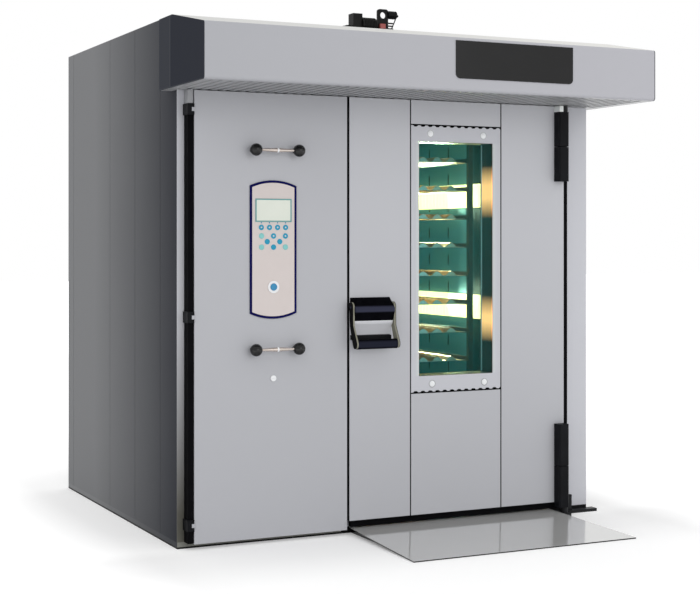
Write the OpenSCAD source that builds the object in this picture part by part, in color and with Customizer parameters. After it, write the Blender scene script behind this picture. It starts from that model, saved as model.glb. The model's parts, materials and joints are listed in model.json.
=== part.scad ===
// Rotating rack oven: insulated body, front hood, two doors, hung rack and roof drive.
// Millimetres, +Z up. Inside the modules x runs from the body's left side and y from its
// front face; place() then centres the whole footprint on the origin.

/* [Body] */
// Width of the body
body_w = 2205; // [2190:1:2300]
// Depth of the body
body_d = 1817; // [1790:1:1900]
// Height of the body
body_h = 2400; // [2370:1:2480]
// Height of the base frame under the panels
base_h = 30; // [24:1:34]
// Width of the base frame's channels
base_bar = 60; // [50:1:70]
// Depth of the outer cassette panels
panel_d = 25; // [20:1:30]
// Thickness of the outer sheet
sheet = 2; // [1.5:0.1:3]
// Gap between neighbouring panels
panel_gap = 4; // [2:0.5:6]
// Depth of the front posts
post_d = 60; // [50:1:70]
// Width of the left front post
left_post_w = 45; // [40:1:46]

/* [Hood] */
// How far the hood stands in front of the body
hood_reach = 495; // [440:5:560]
// How far the hood stands out at each side
hood_over = 57; // [56:1:80]
// Distance from the roof down to the hood's underside
hood_drop = 344; // [334:1:360]
// Height of the hood's front face
hood_h = 245; // [220:5:270]
// Distance from the body's front to the top of the lid's slope
lid_flat = 95; // [80:1:120]
// How far the lid and the cheeks run back over the body
lid_back = 79; // [74:1:100]
// Depth of the lid's flat part below the roof
lid_drop = 23; // [18:1:28]
// Radius of the rolled edges of the hood's face
hood_r = 14; // [8:1:20]

/* [Service door] */
// Left edge of the service door
service_x = 62; // [60:1:66]
// Width of the service door
service_w = 756; // [740:1:760]
// Bottom of the service door
service_z = 26; // [22:1:40]
// How far both doors stand proud of the body
door_proud = 55; // [50:1:60]
// Gap between the doors
door_gap = 13; // [11:1:18]
// Gap between a door and the hood
top_gap = 3; // [2:0.5:6]
// Gap between the back of a door and the body
back_gap = 4; // [3.5:0.1:5]
// Radius of the service hinge knuckles
knuckle_r = 7; // [6:0.5:8]
// Height of one service hinge
hinge_h = 50; // [40:1:60]

/* [Control panel] */
// Distance from the service door's left edge to the panel
panel_x = 265; // [250:1:280]
// Width of the control panel
panel_w = 231; // [215:1:240]
// Bottom of the control panel
panel_z = 1024; // [1000:1:1040]
// Height of the control panel
panel_h = 632; // [620:1:660]
// Rise of the curved top and bottom
panel_rise = 25; // [15:1:35]
// Width of the blue surround
surround_w = 11; // [8:1:14]
// Diameter of the round keys
key_dia = 25; // [20:1:27]
// Diameter of the start button
start_dia = 32; // [28:1:38]
// Travel of the start button
start_travel = 3; // [2:0.5:3.5]

/* [Pull handles] */
// Distance between the two balls of a pull handle
ball_pitch = 212; // [190:1:240]
// Diameter of the balls
ball_dia = 57; // [48:1:62]
// Distance from the door's face to the ball's centre
ball_out = 44; // [40:1:55]
// Diameter of the spindle at its thickest
spindle_dia = 20; // [16:1:24]

/* [Chamber door] */
// Width of the chamber door
door_w = 1199; // [1190:1:1205]
// Bottom of the chamber door
door_z = 67; // [60:1:75]
// Width of the left outer skin
left_skin_w = 321; // [300:1:340]
// Width of the middle outer skin
mid_skin_w = 498; // [480:1:515]
// Width of the dark seams between the skins
seam_w = 7; // [5:0.5:10]
// How far the door laps over each side of the doorway
door_lap = 56.5; // [54.5:0.5:65]
// Depth of the plug that enters the doorway
plug_d = 60; // [50:1:70]
// Gap between the plug and the doorway
plug_gap = 14; // [13:1:20]
// Width of the window
window_w = 410; // [380:1:430]
// Bottom of the window
window_z = 731; // [700:1:760]
// Distance from the door's top down to the window
window_drop = 198; // [180:1:260]
// Height of the trim plates above and below the window
trim_h = 80; // [60:1:90]
// Thickness of the glass
glass_t = 6; // [4:1:8]

/* [Door hinges] */
// Distance from the door's right edge to the pivot
pivot_in = 14; // [12:1:16]
// Distance from the body's front to the pivot
pivot_out = 80; // [78:1:84]
// Width of the black hinge covers
cover_w = 58; // [54:1:60]
// Height of the upper cover
upper_cover_h = 347; // [300:1:360]
// Height of the lower cover
lower_cover_h = 416; // [380:1:440]
// Bottom of the lower cover
lower_cover_z = 45; // [42:1:50]
// Diameter of the pivot pins
pivot_dia = 20; // [16:1:24]

/* [Door handle] */
// Width of the handle housing
housing_w = 204; // [190:1:215]
// Top of the handle housing
housing_z = 1113; // [1090:1:1130]
// Thickness of the lever's arms
arm_t = 10; // [8:1:11]
// Diameter of the lever's pivot
lever_pin = 16; // [12:1:20]

/* [Chamber] */
// Half of the chamber's inner width
chamber_half = 640; // [630:1:645]
// Distance from the body's front to the chamber's back wall
chamber_back = 1640; // [1600:1:1660]
// Distance from the hood's underside down to the chamber's ceiling
chamber_drop = 16; // [6:1:20]
// Thickness of the chamber's sheet
wall_t = 3; // [2:0.5:4]
// Thickness of the insulation at the left of the chamber
insulation_t = 94; // [80:1:100]
// Rows of air slots
slot_rows = 12; // [8:1:14]
// Columns of air slots in one wall
slot_cols = 6; // [4:1:8]

/* [Rack] */
// Width of the rack
rack_w = 740; // [700:5:760]
// Depth of the rack
rack_d = 900; // [860:5:920]
// Distance from the body's front to the rack's axis
rack_y = 900; // [890:1:920]
// Number of wave trays
tray_count = 12; // [8:1:12]
// Height of the lowest tray
tray_z = 172; // [165:1:180]
// Width of one groove in a tray
groove_w = 84; // [70:1:84]
// Depth of the grooves
groove_h = 24; // [16:1:30]
// Thickness of the tray sheet
tray_t = 1.5; // [1:0.1:2]
// Side of the rack's square tubes
tube = 25; // [22:1:28]
// Clearance under the hung rack's wheels
lift_gap = 6; // [4:1:10]
// Diameter of the caster wheels
caster_dia = 80; // [70:1:84]

/* [Roof drive] */
// Diameter of the rotor shaft
shaft_dia = 50; // [40:1:60]
// Module of the drive gears
gear_module = 4; // [3.5:0.1:4.2]
// Teeth of the rotor gear
gear_teeth = 60; // [56:2:60]
// Teeth of the drive pinion
pinion_teeth = 15; // [13:2:17]
// Face width of the rotor gear
gear_face = 25; // [20:1:28]
// Height of the drive above the roof
drive_h = 240; // [232:1:260]

/* [Ramp] */
// How far the ramp reaches in front of the body
ramp_reach = 705; // [650:5:760]
// How far the ramp's back edge reaches past each side of the doorway
ramp_lap = 15; // [0:1:30]
// How far the ramp widens at each side towards its front edge
ramp_flare = 27; // [15:1:50]
// Distance from the door's middle to the ramp's middle, towards the service door
ramp_shift = 24; // [10:1:30]
// Thickness of the ramp plate
ramp_t = 6; // [4:0.5:8]

/* [Hidden] */
$fn = 48;
eps = 0.5;
fit = 0.3;
pin_fit = 0.05;

light_grey = [0.70, 0.70, 0.72];
dark_grey = [0.22, 0.23, 0.27];
steel = [0.78, 0.77, 0.74];
black = [0.05, 0.05, 0.05];

front_y = (ramp_reach - body_d) / 2;
hood_z = body_h - hood_drop;
chamber_top = hood_z - chamber_drop;
doorway_w = door_w - 2 * door_lap;
ramp_back_w = doorway_w + 2 * ramp_lap;
ramp_front_w = ramp_back_w + 2 * ramp_flare;
door_x = service_x + service_w + door_gap;
door_r = door_x + door_w;
door_top = hood_z - top_gap;
door_cx = door_x + door_w / 2;
doorway_l = door_cx - doorway_w / 2;
doorway_r = door_cx + doorway_w / 2;
door_head = 50;
doorway_top = chamber_top - door_head;
window_h = door_top - window_drop - window_z;
face_y = -door_proud;
right_post_x = doorway_r;
rack_x = door_cx;
chamber_l = rack_x - chamber_half;
chamber_r = rack_x + chamber_half;
bay_r = chamber_l - wall_t - insulation_t;
mid_x = door_x + left_skin_w + seam_w;
side_strip_w = 43;
window_x = mid_x + side_strip_w;
right_skin_x = mid_x + mid_skin_w + seam_w;
pivot_x = door_r - pivot_in;
pivot_y = -pivot_out;
hood_top = hood_z + hood_h;
service_top = door_top;
service_r = service_x + service_w;
hinge_x = service_x - knuckle_r - 1;
hinge_y = face_y - 3;
gear_r = gear_module * gear_teeth / 2;
pinion_r = gear_module * pinion_teeth / 2;
pinion_x = rack_x - gear_r - pinion_r;
bearing_h = 30;
gear_z = body_h + bearing_h;
deck_z = gear_z + gear_face + 25;
deck_t = 10;
deck_top = deck_z + deck_t;
drive_top = body_h + drive_h;
fork_drop = 66;
fork_z = chamber_top - fork_drop;
head_z = fork_z - 30;
tray_pitch = (fork_z - 14 - tray_z) / tray_count;
caster_z = base_h + lift_gap;
caster_r = caster_dia / 2;
rack_base_z = caster_z + caster_dia + 12;
tray_w = rack_w - 2 * tube - 18;
tray_d = rack_d - 2 * tube;

// Moves the front-left working frame so that the footprint is centred on the origin.
module place() { translate([-body_w / 2, front_y, 0]) children(); }

// A box between two corners.
module block(x0, x1, y0, y1, z0, z1) {
    translate([x0, y0, z0]) cube([x1 - x0, y1 - y0, z1 - z0]);
}

// A bar along X whose section is drawn as [y, z] points.
module along_x(x0, x1) {
    translate([x0, 0, 0]) rotate([90, 0, 90]) linear_extrude(x1 - x0) children();
}

// A round bar along Y from y0 to y1.
module rod_y(x, z, r, y0, y1) {
    translate([x, y0, z]) rotate([-90, 0, 0]) cylinder(h = y1 - y0, r = r);
}

// A round bar along X from x0 to x1.
module rod_x(y, z, r, x0, x1) {
    translate([x0, y, z]) rotate([0, 90, 0]) cylinder(h = x1 - x0, r = r);
}

// ---------------------------------------------------------------- body

module base_frame() {
    color(steel) place() difference() {
        block(0, body_w, 0, body_d, 0, base_h);
        block(base_bar, bay_r, base_bar, body_d - base_bar, -1, base_h + 1);
        block(bay_r + base_bar, body_w - base_bar, base_bar, body_d - base_bar, -1, base_h + 1);
    }
}

// Pressed floor tray: a top sheet with its edges turned down, one in each opening of the frame.
module floor_tray(x0, x1) {
    difference() {
        block(x0, x1, base_bar + fit, body_d - base_bar - fit, 2, base_h);
        block(x0 + wall_t, x1 - wall_t, base_bar + wall_t, body_d - base_bar - wall_t, 0, base_h - wall_t);
    }
}

module chamber_floor() {
    color(steel) place() {
        floor_tray(base_bar + fit, bay_r - fit);
        floor_tray(bay_r + base_bar + fit, body_w - base_bar - fit);
    }
}

// Cassette panel with returned edges, its skin at x = 0 and its flanges towards +x.
module cassette(y0, y1, z0, z1) {
    difference() {
        block(0, panel_d, y0, y1, z0, z1);
        block(sheet, panel_d + 1, y0 + sheet, y1 - sheet, z0 + sheet, z1 - sheet);
    }
}

side_seams = [235, 613, 1026, 1710];
cheek_z = hood_z + 18;

// The upper front cassette starts behind the hood's cheek, the others behind the front frame.
module side_wall() {
    cassette(wall_t + fit, side_seams[0] - panel_gap / 2, base_h, cheek_z - panel_gap / 2);
    cassette(lid_back + fit, side_seams[0] - panel_gap / 2, cheek_z + panel_gap / 2, body_h);
    for (i = [0 : len(side_seams) - 1])
        cassette(side_seams[i] + panel_gap / 2,
            i == len(side_seams) - 1 ? body_d : side_seams[i + 1] - panel_gap / 2, base_h, body_h);
}

module side_panels() {
    color(dark_grey) place() {
        side_wall();
        translate([body_w, 0, 0]) mirror([1, 0, 0]) side_wall();
    }
}

back_count = 4;

module back_panels() {
    pitch = (body_w - 2 * panel_d) / back_count;
    color(dark_grey) place() for (i = [0 : back_count - 1]) {
        x0 = panel_d + i * pitch + panel_gap / 2;
        translate([x0, body_d, 0]) rotate([0, 0, -90]) cassette(0, pitch - panel_gap, base_h, body_h);
    }
}

roof_t = 4;
lid_z = body_h - lid_drop;

// Three roof sheets, each with a front flange turned down behind the hood's lid.
module roof_panels() {
    mid = 330;
    x = [panel_d + fit, rack_x - mid, rack_x + mid, body_w - panel_d - fit];
    color(light_grey) place() difference() {
        for (i = [0 : 2]) {
            x0 = x[i] + (i > 0 ? panel_gap / 2 : 0);
            x1 = x[i + 1] - (i < 2 ? panel_gap / 2 : 0);
            block(x0, x1, lid_back, body_d - panel_d - fit, body_h - roof_t, body_h);
            block(x0, x1, lid_back, lid_back + wall_t, lid_z - 20, body_h - 1);
        }
        translate([rack_x, rack_y, body_h - 10]) cylinder(h = 20, r = shaft_dia / 2 + 5);
        translate([flue_x, flue_y, body_h - 10]) cylinder(h = 20, r = flue_r);
    }
}

// Channel post, open at the back.
module post(x0, x1, z1) {
    difference() {
        block(x0, x1, 0, post_d, base_h, z1);
        block(x0 + wall_t, x1 - wall_t, wall_t, post_d + 1, base_h - 1, z1 + 1);
    }
}

lintel_z = hood_z + 2;

module front_frame() {
    color(light_grey) place() {
        post(panel_d + fit, left_post_w, lintel_z + 1);
        block(0, left_post_w, 0, wall_t, base_h, lintel_z + 1);
        post(bay_r, doorway_l, lintel_z + 1);
        post(right_post_x, body_w - panel_d - fit, lintel_z + 1);
        block(right_post_x, body_w, 0, wall_t, base_h, lintel_z + 1);
        block(0, body_w, 0, wall_t, lintel_z, lid_z - wall_t);
        block(doorway_l - 1, doorway_r + 1, 0, post_d, doorway_top, lintel_z);
        block(panel_d + fit, body_w - panel_d - fit, 0, post_d, lid_z - wall_t - roof_t, lid_z - wall_t);
    }
}

filler_x = 33;
stay_h = 62;

// Black filler strip beside the service door, and the flat seals beside the chamber door.
module frame_seals() {
    seal_t = 2.5;
    right_seal_w = 53;
    color(black) place() {
        block(filler_x, service_x - 2, face_y + 4, 0, base_h, hood_z - stay_h - fit);
        block(service_r - 6, door_x + 6, -seal_t, 0, base_h, hood_z - 4);
        block(door_r + 4, door_r + 4 + right_seal_w, -seal_t, 0, base_h, hood_z - 40);
    }
}

// ---------------------------------------------------------------- hood

hood_skin = 4;
hood_x0 = -hood_over + hood_skin + fit;
hood_x1 = body_w + hood_over - hood_skin - fit;
lid_y = -hood_reach + hood_r;

// Front face of the hood in section: a flat sheet whose top and bottom edges are rolled back.
module hood_fascia() {
    y0 = -hood_reach;
    color(light_grey) place() along_x(hood_x0, hood_x1) difference() {
        union() {
            translate([y0 + hood_r, hood_z + hood_r]) circle(hood_r);
            translate([y0 + hood_r, hood_top - hood_r]) circle(hood_r);
            translate([y0, hood_z + hood_r]) square([hood_r, hood_h - 2 * hood_r]);
        }
        translate([y0 + hood_r, hood_z + hood_r]) circle(hood_r - hood_skin);
        translate([y0 + hood_r, hood_top - hood_r]) circle(hood_r - hood_skin);
        translate([y0 + hood_skin, hood_z + hood_r]) square([2 * hood_r, hood_h - 2 * hood_r]);
        translate([lid_y, hood_z - 1]) square([2 * hood_r, hood_h + 2]);
    }
}

// Lid: a slope up from the front face, then a flat part that runs back to the roof sheets.
module hood_lid() {
    color(steel) place() along_x(hood_x0, hood_x1)
        polygon([[lid_y, hood_top - wall_t], [-lid_flat, lid_z - wall_t], [lid_back, lid_z - wall_t],
            [lid_back, lid_z], [-lid_flat, lid_z], [lid_y, hood_top]]);
}

// Cheek plate with rounded front corners, and the flange that closes it against the body.
module hood_end() {
    y0 = -hood_reach;
    along_x(0, hood_skin) {
        translate([y0 + hood_r, hood_z + hood_r]) circle(hood_r);
        translate([y0 + hood_r, hood_top - hood_r]) circle(hood_r);
        translate([y0, hood_z + hood_r]) square([2 * hood_r, hood_h - 2 * hood_r]);
        polygon([[lid_y, hood_z], [lid_back, hood_z], [lid_back, lid_z], [-lid_flat, lid_z], [lid_y, hood_top]]);
    }
    flange_z = cheek_z + panel_gap / 2;
    along_x(hood_skin - 1, hood_over) translate([lid_back - hood_skin, hood_z])
        square([hood_skin, lid_z - wall_t - hood_z]);
    along_x(hood_over - 1, hood_over + panel_d) translate([lid_back - hood_skin, flange_z])
        square([hood_skin, lid_z - wall_t - flange_z]);
}

module hood_ends() {
    color(dark_grey) place() {
        translate([-hood_over, 0, 0]) hood_end();
        translate([body_w + hood_over, 0, 0]) mirror([1, 0, 0]) hood_end();
    }
}

rib_pitch = 46;

// Ribbed sheet under the hood, a strip beside the body at each end, and the stay over the filler.
module hood_underside() {
    color(steel) place() difference() {
        union() {
            block(hood_x0, hood_x1, lid_y, 0, hood_z, hood_z + 8);
            for (x = [hood_x0, body_w]) block(x, x - hood_x0, -1, lid_back - hood_skin, hood_z, hood_z + 8);
            block(filler_x, service_x - 5, face_y + 4, 0, hood_z - stay_h, hood_z + 1);
        }
        for (x = [hood_x0 + 30 : rib_pitch : hood_x1 - rib_pitch])
            block(x, x + rib_pitch / 2, lid_y + 20, -30, hood_z - 1, hood_z + 4);
    }
}

// ---------------------------------------------------------------- ramp

// Sloping plate that widens towards its front edge, on three ribs.
module ramp() {
    middle = door_cx - ramp_shift;
    rib_half = 3;
    rib_x = ramp_back_w / 2 - 20;
    rib_end = 60 - ramp_reach;
    plate = [[0, base_h - ramp_t], [0, base_h], [-ramp_reach, ramp_t], [-ramp_reach, 0]];
    color(steel) place() {
        intersection() {
            along_x(middle - ramp_front_w, middle + ramp_front_w) polygon(plate);
            translate([0, 0, -1]) linear_extrude(base_h + 2) polygon([
                [middle - ramp_back_w / 2, 0], [middle + ramp_back_w / 2, 0],
                [middle + ramp_front_w / 2, -ramp_reach], [middle - ramp_front_w / 2, -ramp_reach]]);
        }
        for (x = [-rib_x, 0, rib_x]) along_x(middle + x - rib_half, middle + x + rib_half)
            polygon([[0, 0], [0, base_h - ramp_t + eps], [rib_end, 1], [rib_end, 0]]);
    }
}

// ---------------------------------------------------------------- chamber

// Sheet with columns of air slots, drawn as [along, height].
module slotted_sheet(w, h) {
    slot_w = 16;
    slot_h = 60;
    difference() {
        square([w, h]);
        for (i = [1 : slot_cols], j = [1 : slot_rows])
            translate([i * w / (slot_cols + 1) - slot_w / 2, j * h / (slot_rows + 1) - slot_h / 2])
                square([slot_w, slot_h]);
    }
}

module chamber_walls() {
    h = chamber_top - base_h - eps;
    d = chamber_back - post_d - eps;
    color(steel) place() {
        for (x = [chamber_l - wall_t, chamber_r])
            translate([x, post_d, base_h]) rotate([90, 0, 90]) linear_extrude(wall_t) slotted_sheet(d, h);
        translate([chamber_l, chamber_back + wall_t, base_h]) rotate([90, 0, 0])
            linear_extrude(wall_t) slotted_sheet(2 * chamber_half, h);
    }
}

module chamber_ceiling() {
    color(steel) place() difference() {
        block(chamber_l - wall_t, chamber_r + wall_t, post_d + fit, chamber_back + wall_t, chamber_top - eps,
            chamber_top - eps + wall_t);
        translate([rack_x, rack_y, chamber_top - 5]) cylinder(h = 20, r = shaft_dia / 2 + 3);
    }
}

module insulation_slabs() {
    top = chamber_top - eps + wall_t;
    color([0.80, 0.75, 0.55]) place() {
        block(bay_r, chamber_l - wall_t, post_d + fit, chamber_back, base_h, top - 1);
        block(chamber_r + wall_t, body_w - panel_d, post_d + fit, chamber_back, base_h, top - 1);
        block(bay_r, body_w - panel_d, chamber_back + wall_t, body_d - panel_d, base_h, top - 1);
        difference() {
            block(bay_r, body_w - panel_d, lid_back + wall_t + fit, body_d - panel_d, top, body_h - roof_t);
            translate([rack_x, rack_y, top - 1]) cylinder(h = body_h, r = shaft_dia / 2 + 5);
        }
    }
}

lamp_levels = [window_z + 304, window_z + window_h - 248];

module oven_lamps() {
    color([1, 0.9, 0.6]) place() for (z = lamp_levels)
        block(chamber_r - 24, chamber_r, rack_y - 100, chamber_back - 60, z - 40, z + 40);
}

flue_x = 400;
flue_y = 1450;
flue_r = 75;
flue_h = 80;

module flue_collar() {
    color(steel) place() difference() {
        union() {
            translate([flue_x, flue_y, body_h - 60]) cylinder(h = 60 + flue_h, r = flue_r - 1);
            translate([flue_x, flue_y, body_h]) cylinder(h = 4, r = flue_r + 25);
        }
        translate([flue_x, flue_y, body_h - 70]) cylinder(h = 80 + flue_h, r = flue_r - 4);
    }
}

// ---------------------------------------------------------------- technical bay

bay_x = 365;
hx_y0 = 760;
hx_y1 = 1600;
hx_tube_r = 26;
hx_half = 230;
hx_drop = 1050;
hx_top = body_h - hx_drop;
hx_header = 40;

// Two header boxes joined by five columns and six rows of tubes.
module heat_exchanger() {
    pitch_x = 85;
    pitch_z = 150;
    first_row = hx_top - 170;
    color([0.45, 0.42, 0.40]) place() {
        for (y = [hx_y0, hx_y1 - hx_header])
            block(bay_x - hx_half, bay_x + hx_half, y, y + hx_header, base_h, hx_top);
        for (i = [-2 : 2], j = [0 : 5])
            rod_y(bay_x + i * pitch_x, first_row - j * pitch_z, hx_tube_r,
                hx_y0 + hx_header / 2, hx_y1 - hx_header / 2);
    }
}

module burner() {
    z = 620;
    color([0.30, 0.32, 0.36]) place() {
        rod_y(bay_x, z, 75, hx_y0 - 220, hx_y0);
        rod_y(bay_x, z, 115, hx_y0 - 16, hx_y0);
        difference() {
            block(bay_x - 130, bay_x + 150, hx_y0 - 460, hx_y0 - 215, z - 120, z + 130);
            rod_y(bay_x, z, 60, hx_y0 - 470, hx_y0 - 440);
        }
        rod_y(bay_x, z, 40, hx_y0 - 480, hx_y0 - 430);
    }
}

fan_drop = 650;
fan_z = body_h - fan_drop;
fan_r = 190;
fan_y0 = 470;
fan_d = 170;
fan_shaft_r = 14;

module fan_housing() {
    wall = 6;
    r_in = fan_r + 24;
    y1 = fan_y0 + fan_d + 30;
    y0 = fan_y0 - 16;
    color([0.62, 0.62, 0.60]) place() difference() {
        union() {
            rod_y(bay_x, fan_z, r_in + wall, y0, y1);
            block(bay_x, bay_r, y0, y1, fan_z - 40, fan_z + r_in + wall);
        }
        rod_y(bay_x, fan_z, r_in, y0 + wall, y1 - wall);
        block(bay_x, bay_r + 1, y0 + wall, y1 - wall, fan_z - 34, fan_z + r_in);
        rod_y(bay_x, fan_z, fan_r - 40, y1 - 20, y1 + 1);
        rod_y(bay_x, fan_z, fan_shaft_r + 3, y0 - 1, y0 + 20);
    }
}

module fan_motor() {
    y1 = fan_y0 - 16;
    color([0.25, 0.30, 0.36]) place() difference() {
        union() {
            rod_y(bay_x, fan_z, 125, y1 - 14, y1);
            rod_y(bay_x, fan_z, 88, y1 - 250, y1 - 10);
            for (a = [0 : 15 : 345]) translate([bay_x, y1 - 230, fan_z]) rotate([0, a, 0])
                translate([-2, 0, 80]) cube([4, 205, 20]);
            block(bay_x + 60, bay_x + 130, y1 - 180, y1 - 80, fan_z - 45, fan_z + 45);
        }
        rod_y(bay_x, fan_z, fan_shaft_r + pin_fit, y1 - 60, y1 + 1);
    }
}

// One backward curved blade between two radii, its curve drawn in straight steps.
module fan_blade(r0, r1) {
    blade_sweep = 22;
    blade_t = 2.5;
    cuts = 4;
    r = [for (i = [0 : cuts]) r0 + (r1 - r0) * i / cuts];
    a = [for (i = [0 : cuts]) blade_sweep * pow(i / cuts, 2)];
    polygon(concat([for (i = [0 : cuts]) [r[i] * cos(a[i]), r[i] * sin(a[i])]],
        [for (i = [cuts : -1 : 0]) let (b = a[i] + blade_t / r[i] * 180 / PI) [r[i] * cos(b), r[i] * sin(b)]]));
}

// Backward curved centrifugal wheel: hub, back plate, front ring and curved blades.
module fan_wheel() {
    blades = 24;
    color([0.70, 0.70, 0.68]) place() translate([bay_x, fan_y0, fan_z]) rotate([-90, 0, 0]) {
        difference() {
            union() {
                cylinder(h = 4, r = fan_r);
                cylinder(h = 70, r = 34);
            }
            translate([0, 0, 58]) cylinder(h = 30, r = 12);
        }
        translate([0, 0, -70]) cylinder(h = 71, r = fan_shaft_r);
        translate([0, 0, fan_d - 4]) difference() {
            cylinder(h = 4, r = fan_r);
            translate([0, 0, -1]) cylinder(h = 6, r = fan_r - 55);
        }
        for (i = [0 : blades - 1]) rotate([0, 0, i * 360 / blades]) translate([0, 0, 3])
            linear_extrude(fan_d - 6) fan_blade(fan_r - 52, fan_r - 3);
    }
}

// ---------------------------------------------------------------- roof drive

function inv(a) = tan(a) * 180 / PI - a;
function ang_at(r, rb) = r <= rb ? 0 : acos(rb / r);
function half_tooth(r, rp, rb, n) = 90 / n - backlash_deg(rp) + inv(20) - inv(ang_at(r, rb));
function backlash_deg(rp) = 0.12 * 180 / (PI * rp);

// Involute spur gear outline, pressure angle 20 degrees.
module gear_outline(n, m) {
    rp = m * n / 2;
    rb = rp * cos(20);
    ra = rp + m * 0.95;
    rf = rp - m * 1.25;
    radii = [rf, max(rb, rf + 0.2), rp, (rp + ra) / 2, ra];
    polygon([for (i = [0 : n - 1], s = [-1, 1], k = [0 : 4])
        let (r = radii[s < 0 ? k : 4 - k], a = i * 360 / n + s * half_tooth(r, rp, rb, n))
        [r * cos(a), r * sin(a)]]);
}

module rotor_gear() {
    color([0.55, 0.55, 0.55]) place() translate([rack_x, rack_y, gear_z]) difference() {
        linear_extrude(gear_face) gear_outline(gear_teeth, gear_module);
        translate([0, 0, -1]) cylinder(h = gear_face + 2, r = shaft_dia / 2 + pin_fit);
        for (a = [0 : 60 : 300]) rotate([0, 0, a]) translate([gear_r * 0.58, 0, -1])
            cylinder(h = gear_face + 2, r = gear_r * 0.18);
    }
}

// The rotor gear has an even number of teeth, so the pinion turns a tooth space towards it.
module drive_pinion() {
    color([0.75, 0.70, 0.45]) place() translate([pinion_x, rack_y, gear_z]) {
        linear_extrude(gear_face) difference() {
            rotate([0, 0, 180 / pinion_teeth]) gear_outline(pinion_teeth, gear_module);
            circle(5);
        }
        translate([0, 0, gear_face - 4]) cylinder(h = deck_top - gear_z - gear_face + 34, r = 10);
    }
}

module rotor_shaft() {
    color(steel) place() difference() {
        translate([rack_x, rack_y, fork_z + 12]) cylinder(h = deck_z - 6 - fork_z - 12, r = shaft_dia / 2);
        translate([rack_x, rack_y, deck_z - 26]) cylinder(h = 30, r = 6);
    }
}

stand_x0 = pinion_x - 66;
stand_x1 = rack_x + gear_r + gear_module + 26;
stand_y = gear_r + gear_module + 20;

// Bridge over the gears with four legs, and the bearing block that carries the rotor.
module drive_stand() {
    color(black) place() {
        difference() {
            block(stand_x0, stand_x1, rack_y - stand_y, rack_y + stand_y, deck_z, deck_top);
            translate([pinion_x, rack_y, deck_z - 1]) cylinder(h = deck_t + 2, r = 10 + pin_fit);
        }
        for (x = [stand_x0 + 14, stand_x1 - 14], y = [-1, 1])
            translate([x, rack_y + y * (stand_y - 12), body_h]) cylinder(h = deck_z - body_h, r = 10);
        translate([rack_x, rack_y, body_h]) difference() {
            cylinder(h = bearing_h, r = shaft_dia / 2 + 35);
            translate([0, 0, -1]) cylinder(h = bearing_h + 2, r = shaft_dia / 2 + pin_fit);
        }
    }
}

motor_r = 40;
motor_l = 88;
gearbox_h = 40;

// Low worm gearbox over the pinion, its upright wheel case, and the ribbed motor lying along X.
module gear_motor() {
    case_x0 = pinion_x + 23;
    case_x1 = pinion_x + 78;
    axis_z = deck_top + motor_r + 15;
    color(black) place() difference() {
        union() {
            block(pinion_x - 42, case_x1, rack_y - 45, rack_y + 45, deck_top, deck_top + gearbox_h);
            block(pinion_x - 13, case_x0 + 2, rack_y - 26, rack_y + 26, deck_top, deck_top + gearbox_h + 8);
            block(case_x0, case_x1, rack_y - 30, rack_y + 30, deck_top, drive_top - 36);
            rod_x(rack_y, axis_z, motor_r, case_x1 - 2, case_x1 + motor_l);
            rod_x(rack_y, axis_z, motor_r + 5, case_x1 - 1, case_x1 + 8);
            for (x = [case_x1 + 16 : 9 : case_x1 + motor_l - 8]) rod_x(rack_y, axis_z, motor_r + 3, x, x + 4);
        }
        translate([pinion_x, rack_y, deck_top - 1]) cylinder(h = 33, r = 10 + pin_fit);
    }
}

// Eye plate with a ribbed barrel, three studs and a drop rod that watches each turn of the rack.
module rotation_switch() {
    x0 = rack_x + 32;
    x1 = rack_x + 96;
    z1 = drive_top;
    y0 = rack_y - 7;
    y1 = rack_y + 7;
    corner = 14;
    pin_x = x1 + 56;
    pin_z = z1 - 33;
    color(black) place() {
        difference() {
            union() {
                block(x0, x1, y0, y1, deck_top, z1 - corner);
                block(x0 + corner, x1 - corner, y0, y1, deck_top, z1);
                for (x = [x0 + corner, x1 - corner]) rod_y(x, z1 - corner, corner, y0, y1);
            }
            rod_y(x0 + 34, pin_z, 18, y0 - 1, y1 + 1);
        }
        rod_x(rack_y, z1 - 29, 20, x1 - 2, x1 + 50);
        for (x = [x1 + 6 : 12 : x1 + 42]) rod_x(rack_y, z1 - 29, 22, x, x + 6);
        for (z = [z1 - 74, z1 - 89, z1 - 104]) rod_x(rack_y, z, 4, x1 - 2, x1 + 33);
        rod_x(rack_y, pin_z, 6, x1 + 49, pin_x + 6);
        rod_y(pin_x, pin_z, 7, y0, y1);
        translate([pin_x, rack_y, pin_z]) rotate([0, 204, 0]) cylinder(h = 76, r = 3);
        block(x0 - 8, x1 + 10, rack_y - 26, rack_y + 26, deck_top, deck_top + 10);
    }
}

// ---------------------------------------------------------------- rack

// Yoke that hangs from the shaft; its two lips reach under the rack's head ledges.
module hanger_fork() {
    cheek = rack_w / 2 - tube - head_ledge - 6;
    color([0.35, 0.33, 0.30]) place() translate([rack_x, rack_y, 0]) difference() {
        union() {
            block(-cheek, cheek, -30, 30, fork_z, fork_z + 24);
            translate([0, 0, fork_z + 12]) cylinder(h = 52, r = shaft_dia / 2 + 14);
            for (s = [-1, 1]) {
                block(s < 0 ? -cheek : cheek - 12, s < 0 ? -cheek + 12 : cheek, -30, 30, head_z - 16, fork_z + 6);
                block(s < 0 ? -cheek - head_ledge : cheek - 12, s < 0 ? -cheek + 12 : cheek + head_ledge,
                    -30, 30, head_z - 16, head_z - 8);
            }
        }
        translate([0, 0, fork_z + 12]) cylinder(h = 60, r = shaft_dia / 2 + pin_fit);
    }
}

head_ledge = 40;

ledge_t = 3;
ledge_w = 22;
ledge_h = 24;

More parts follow.
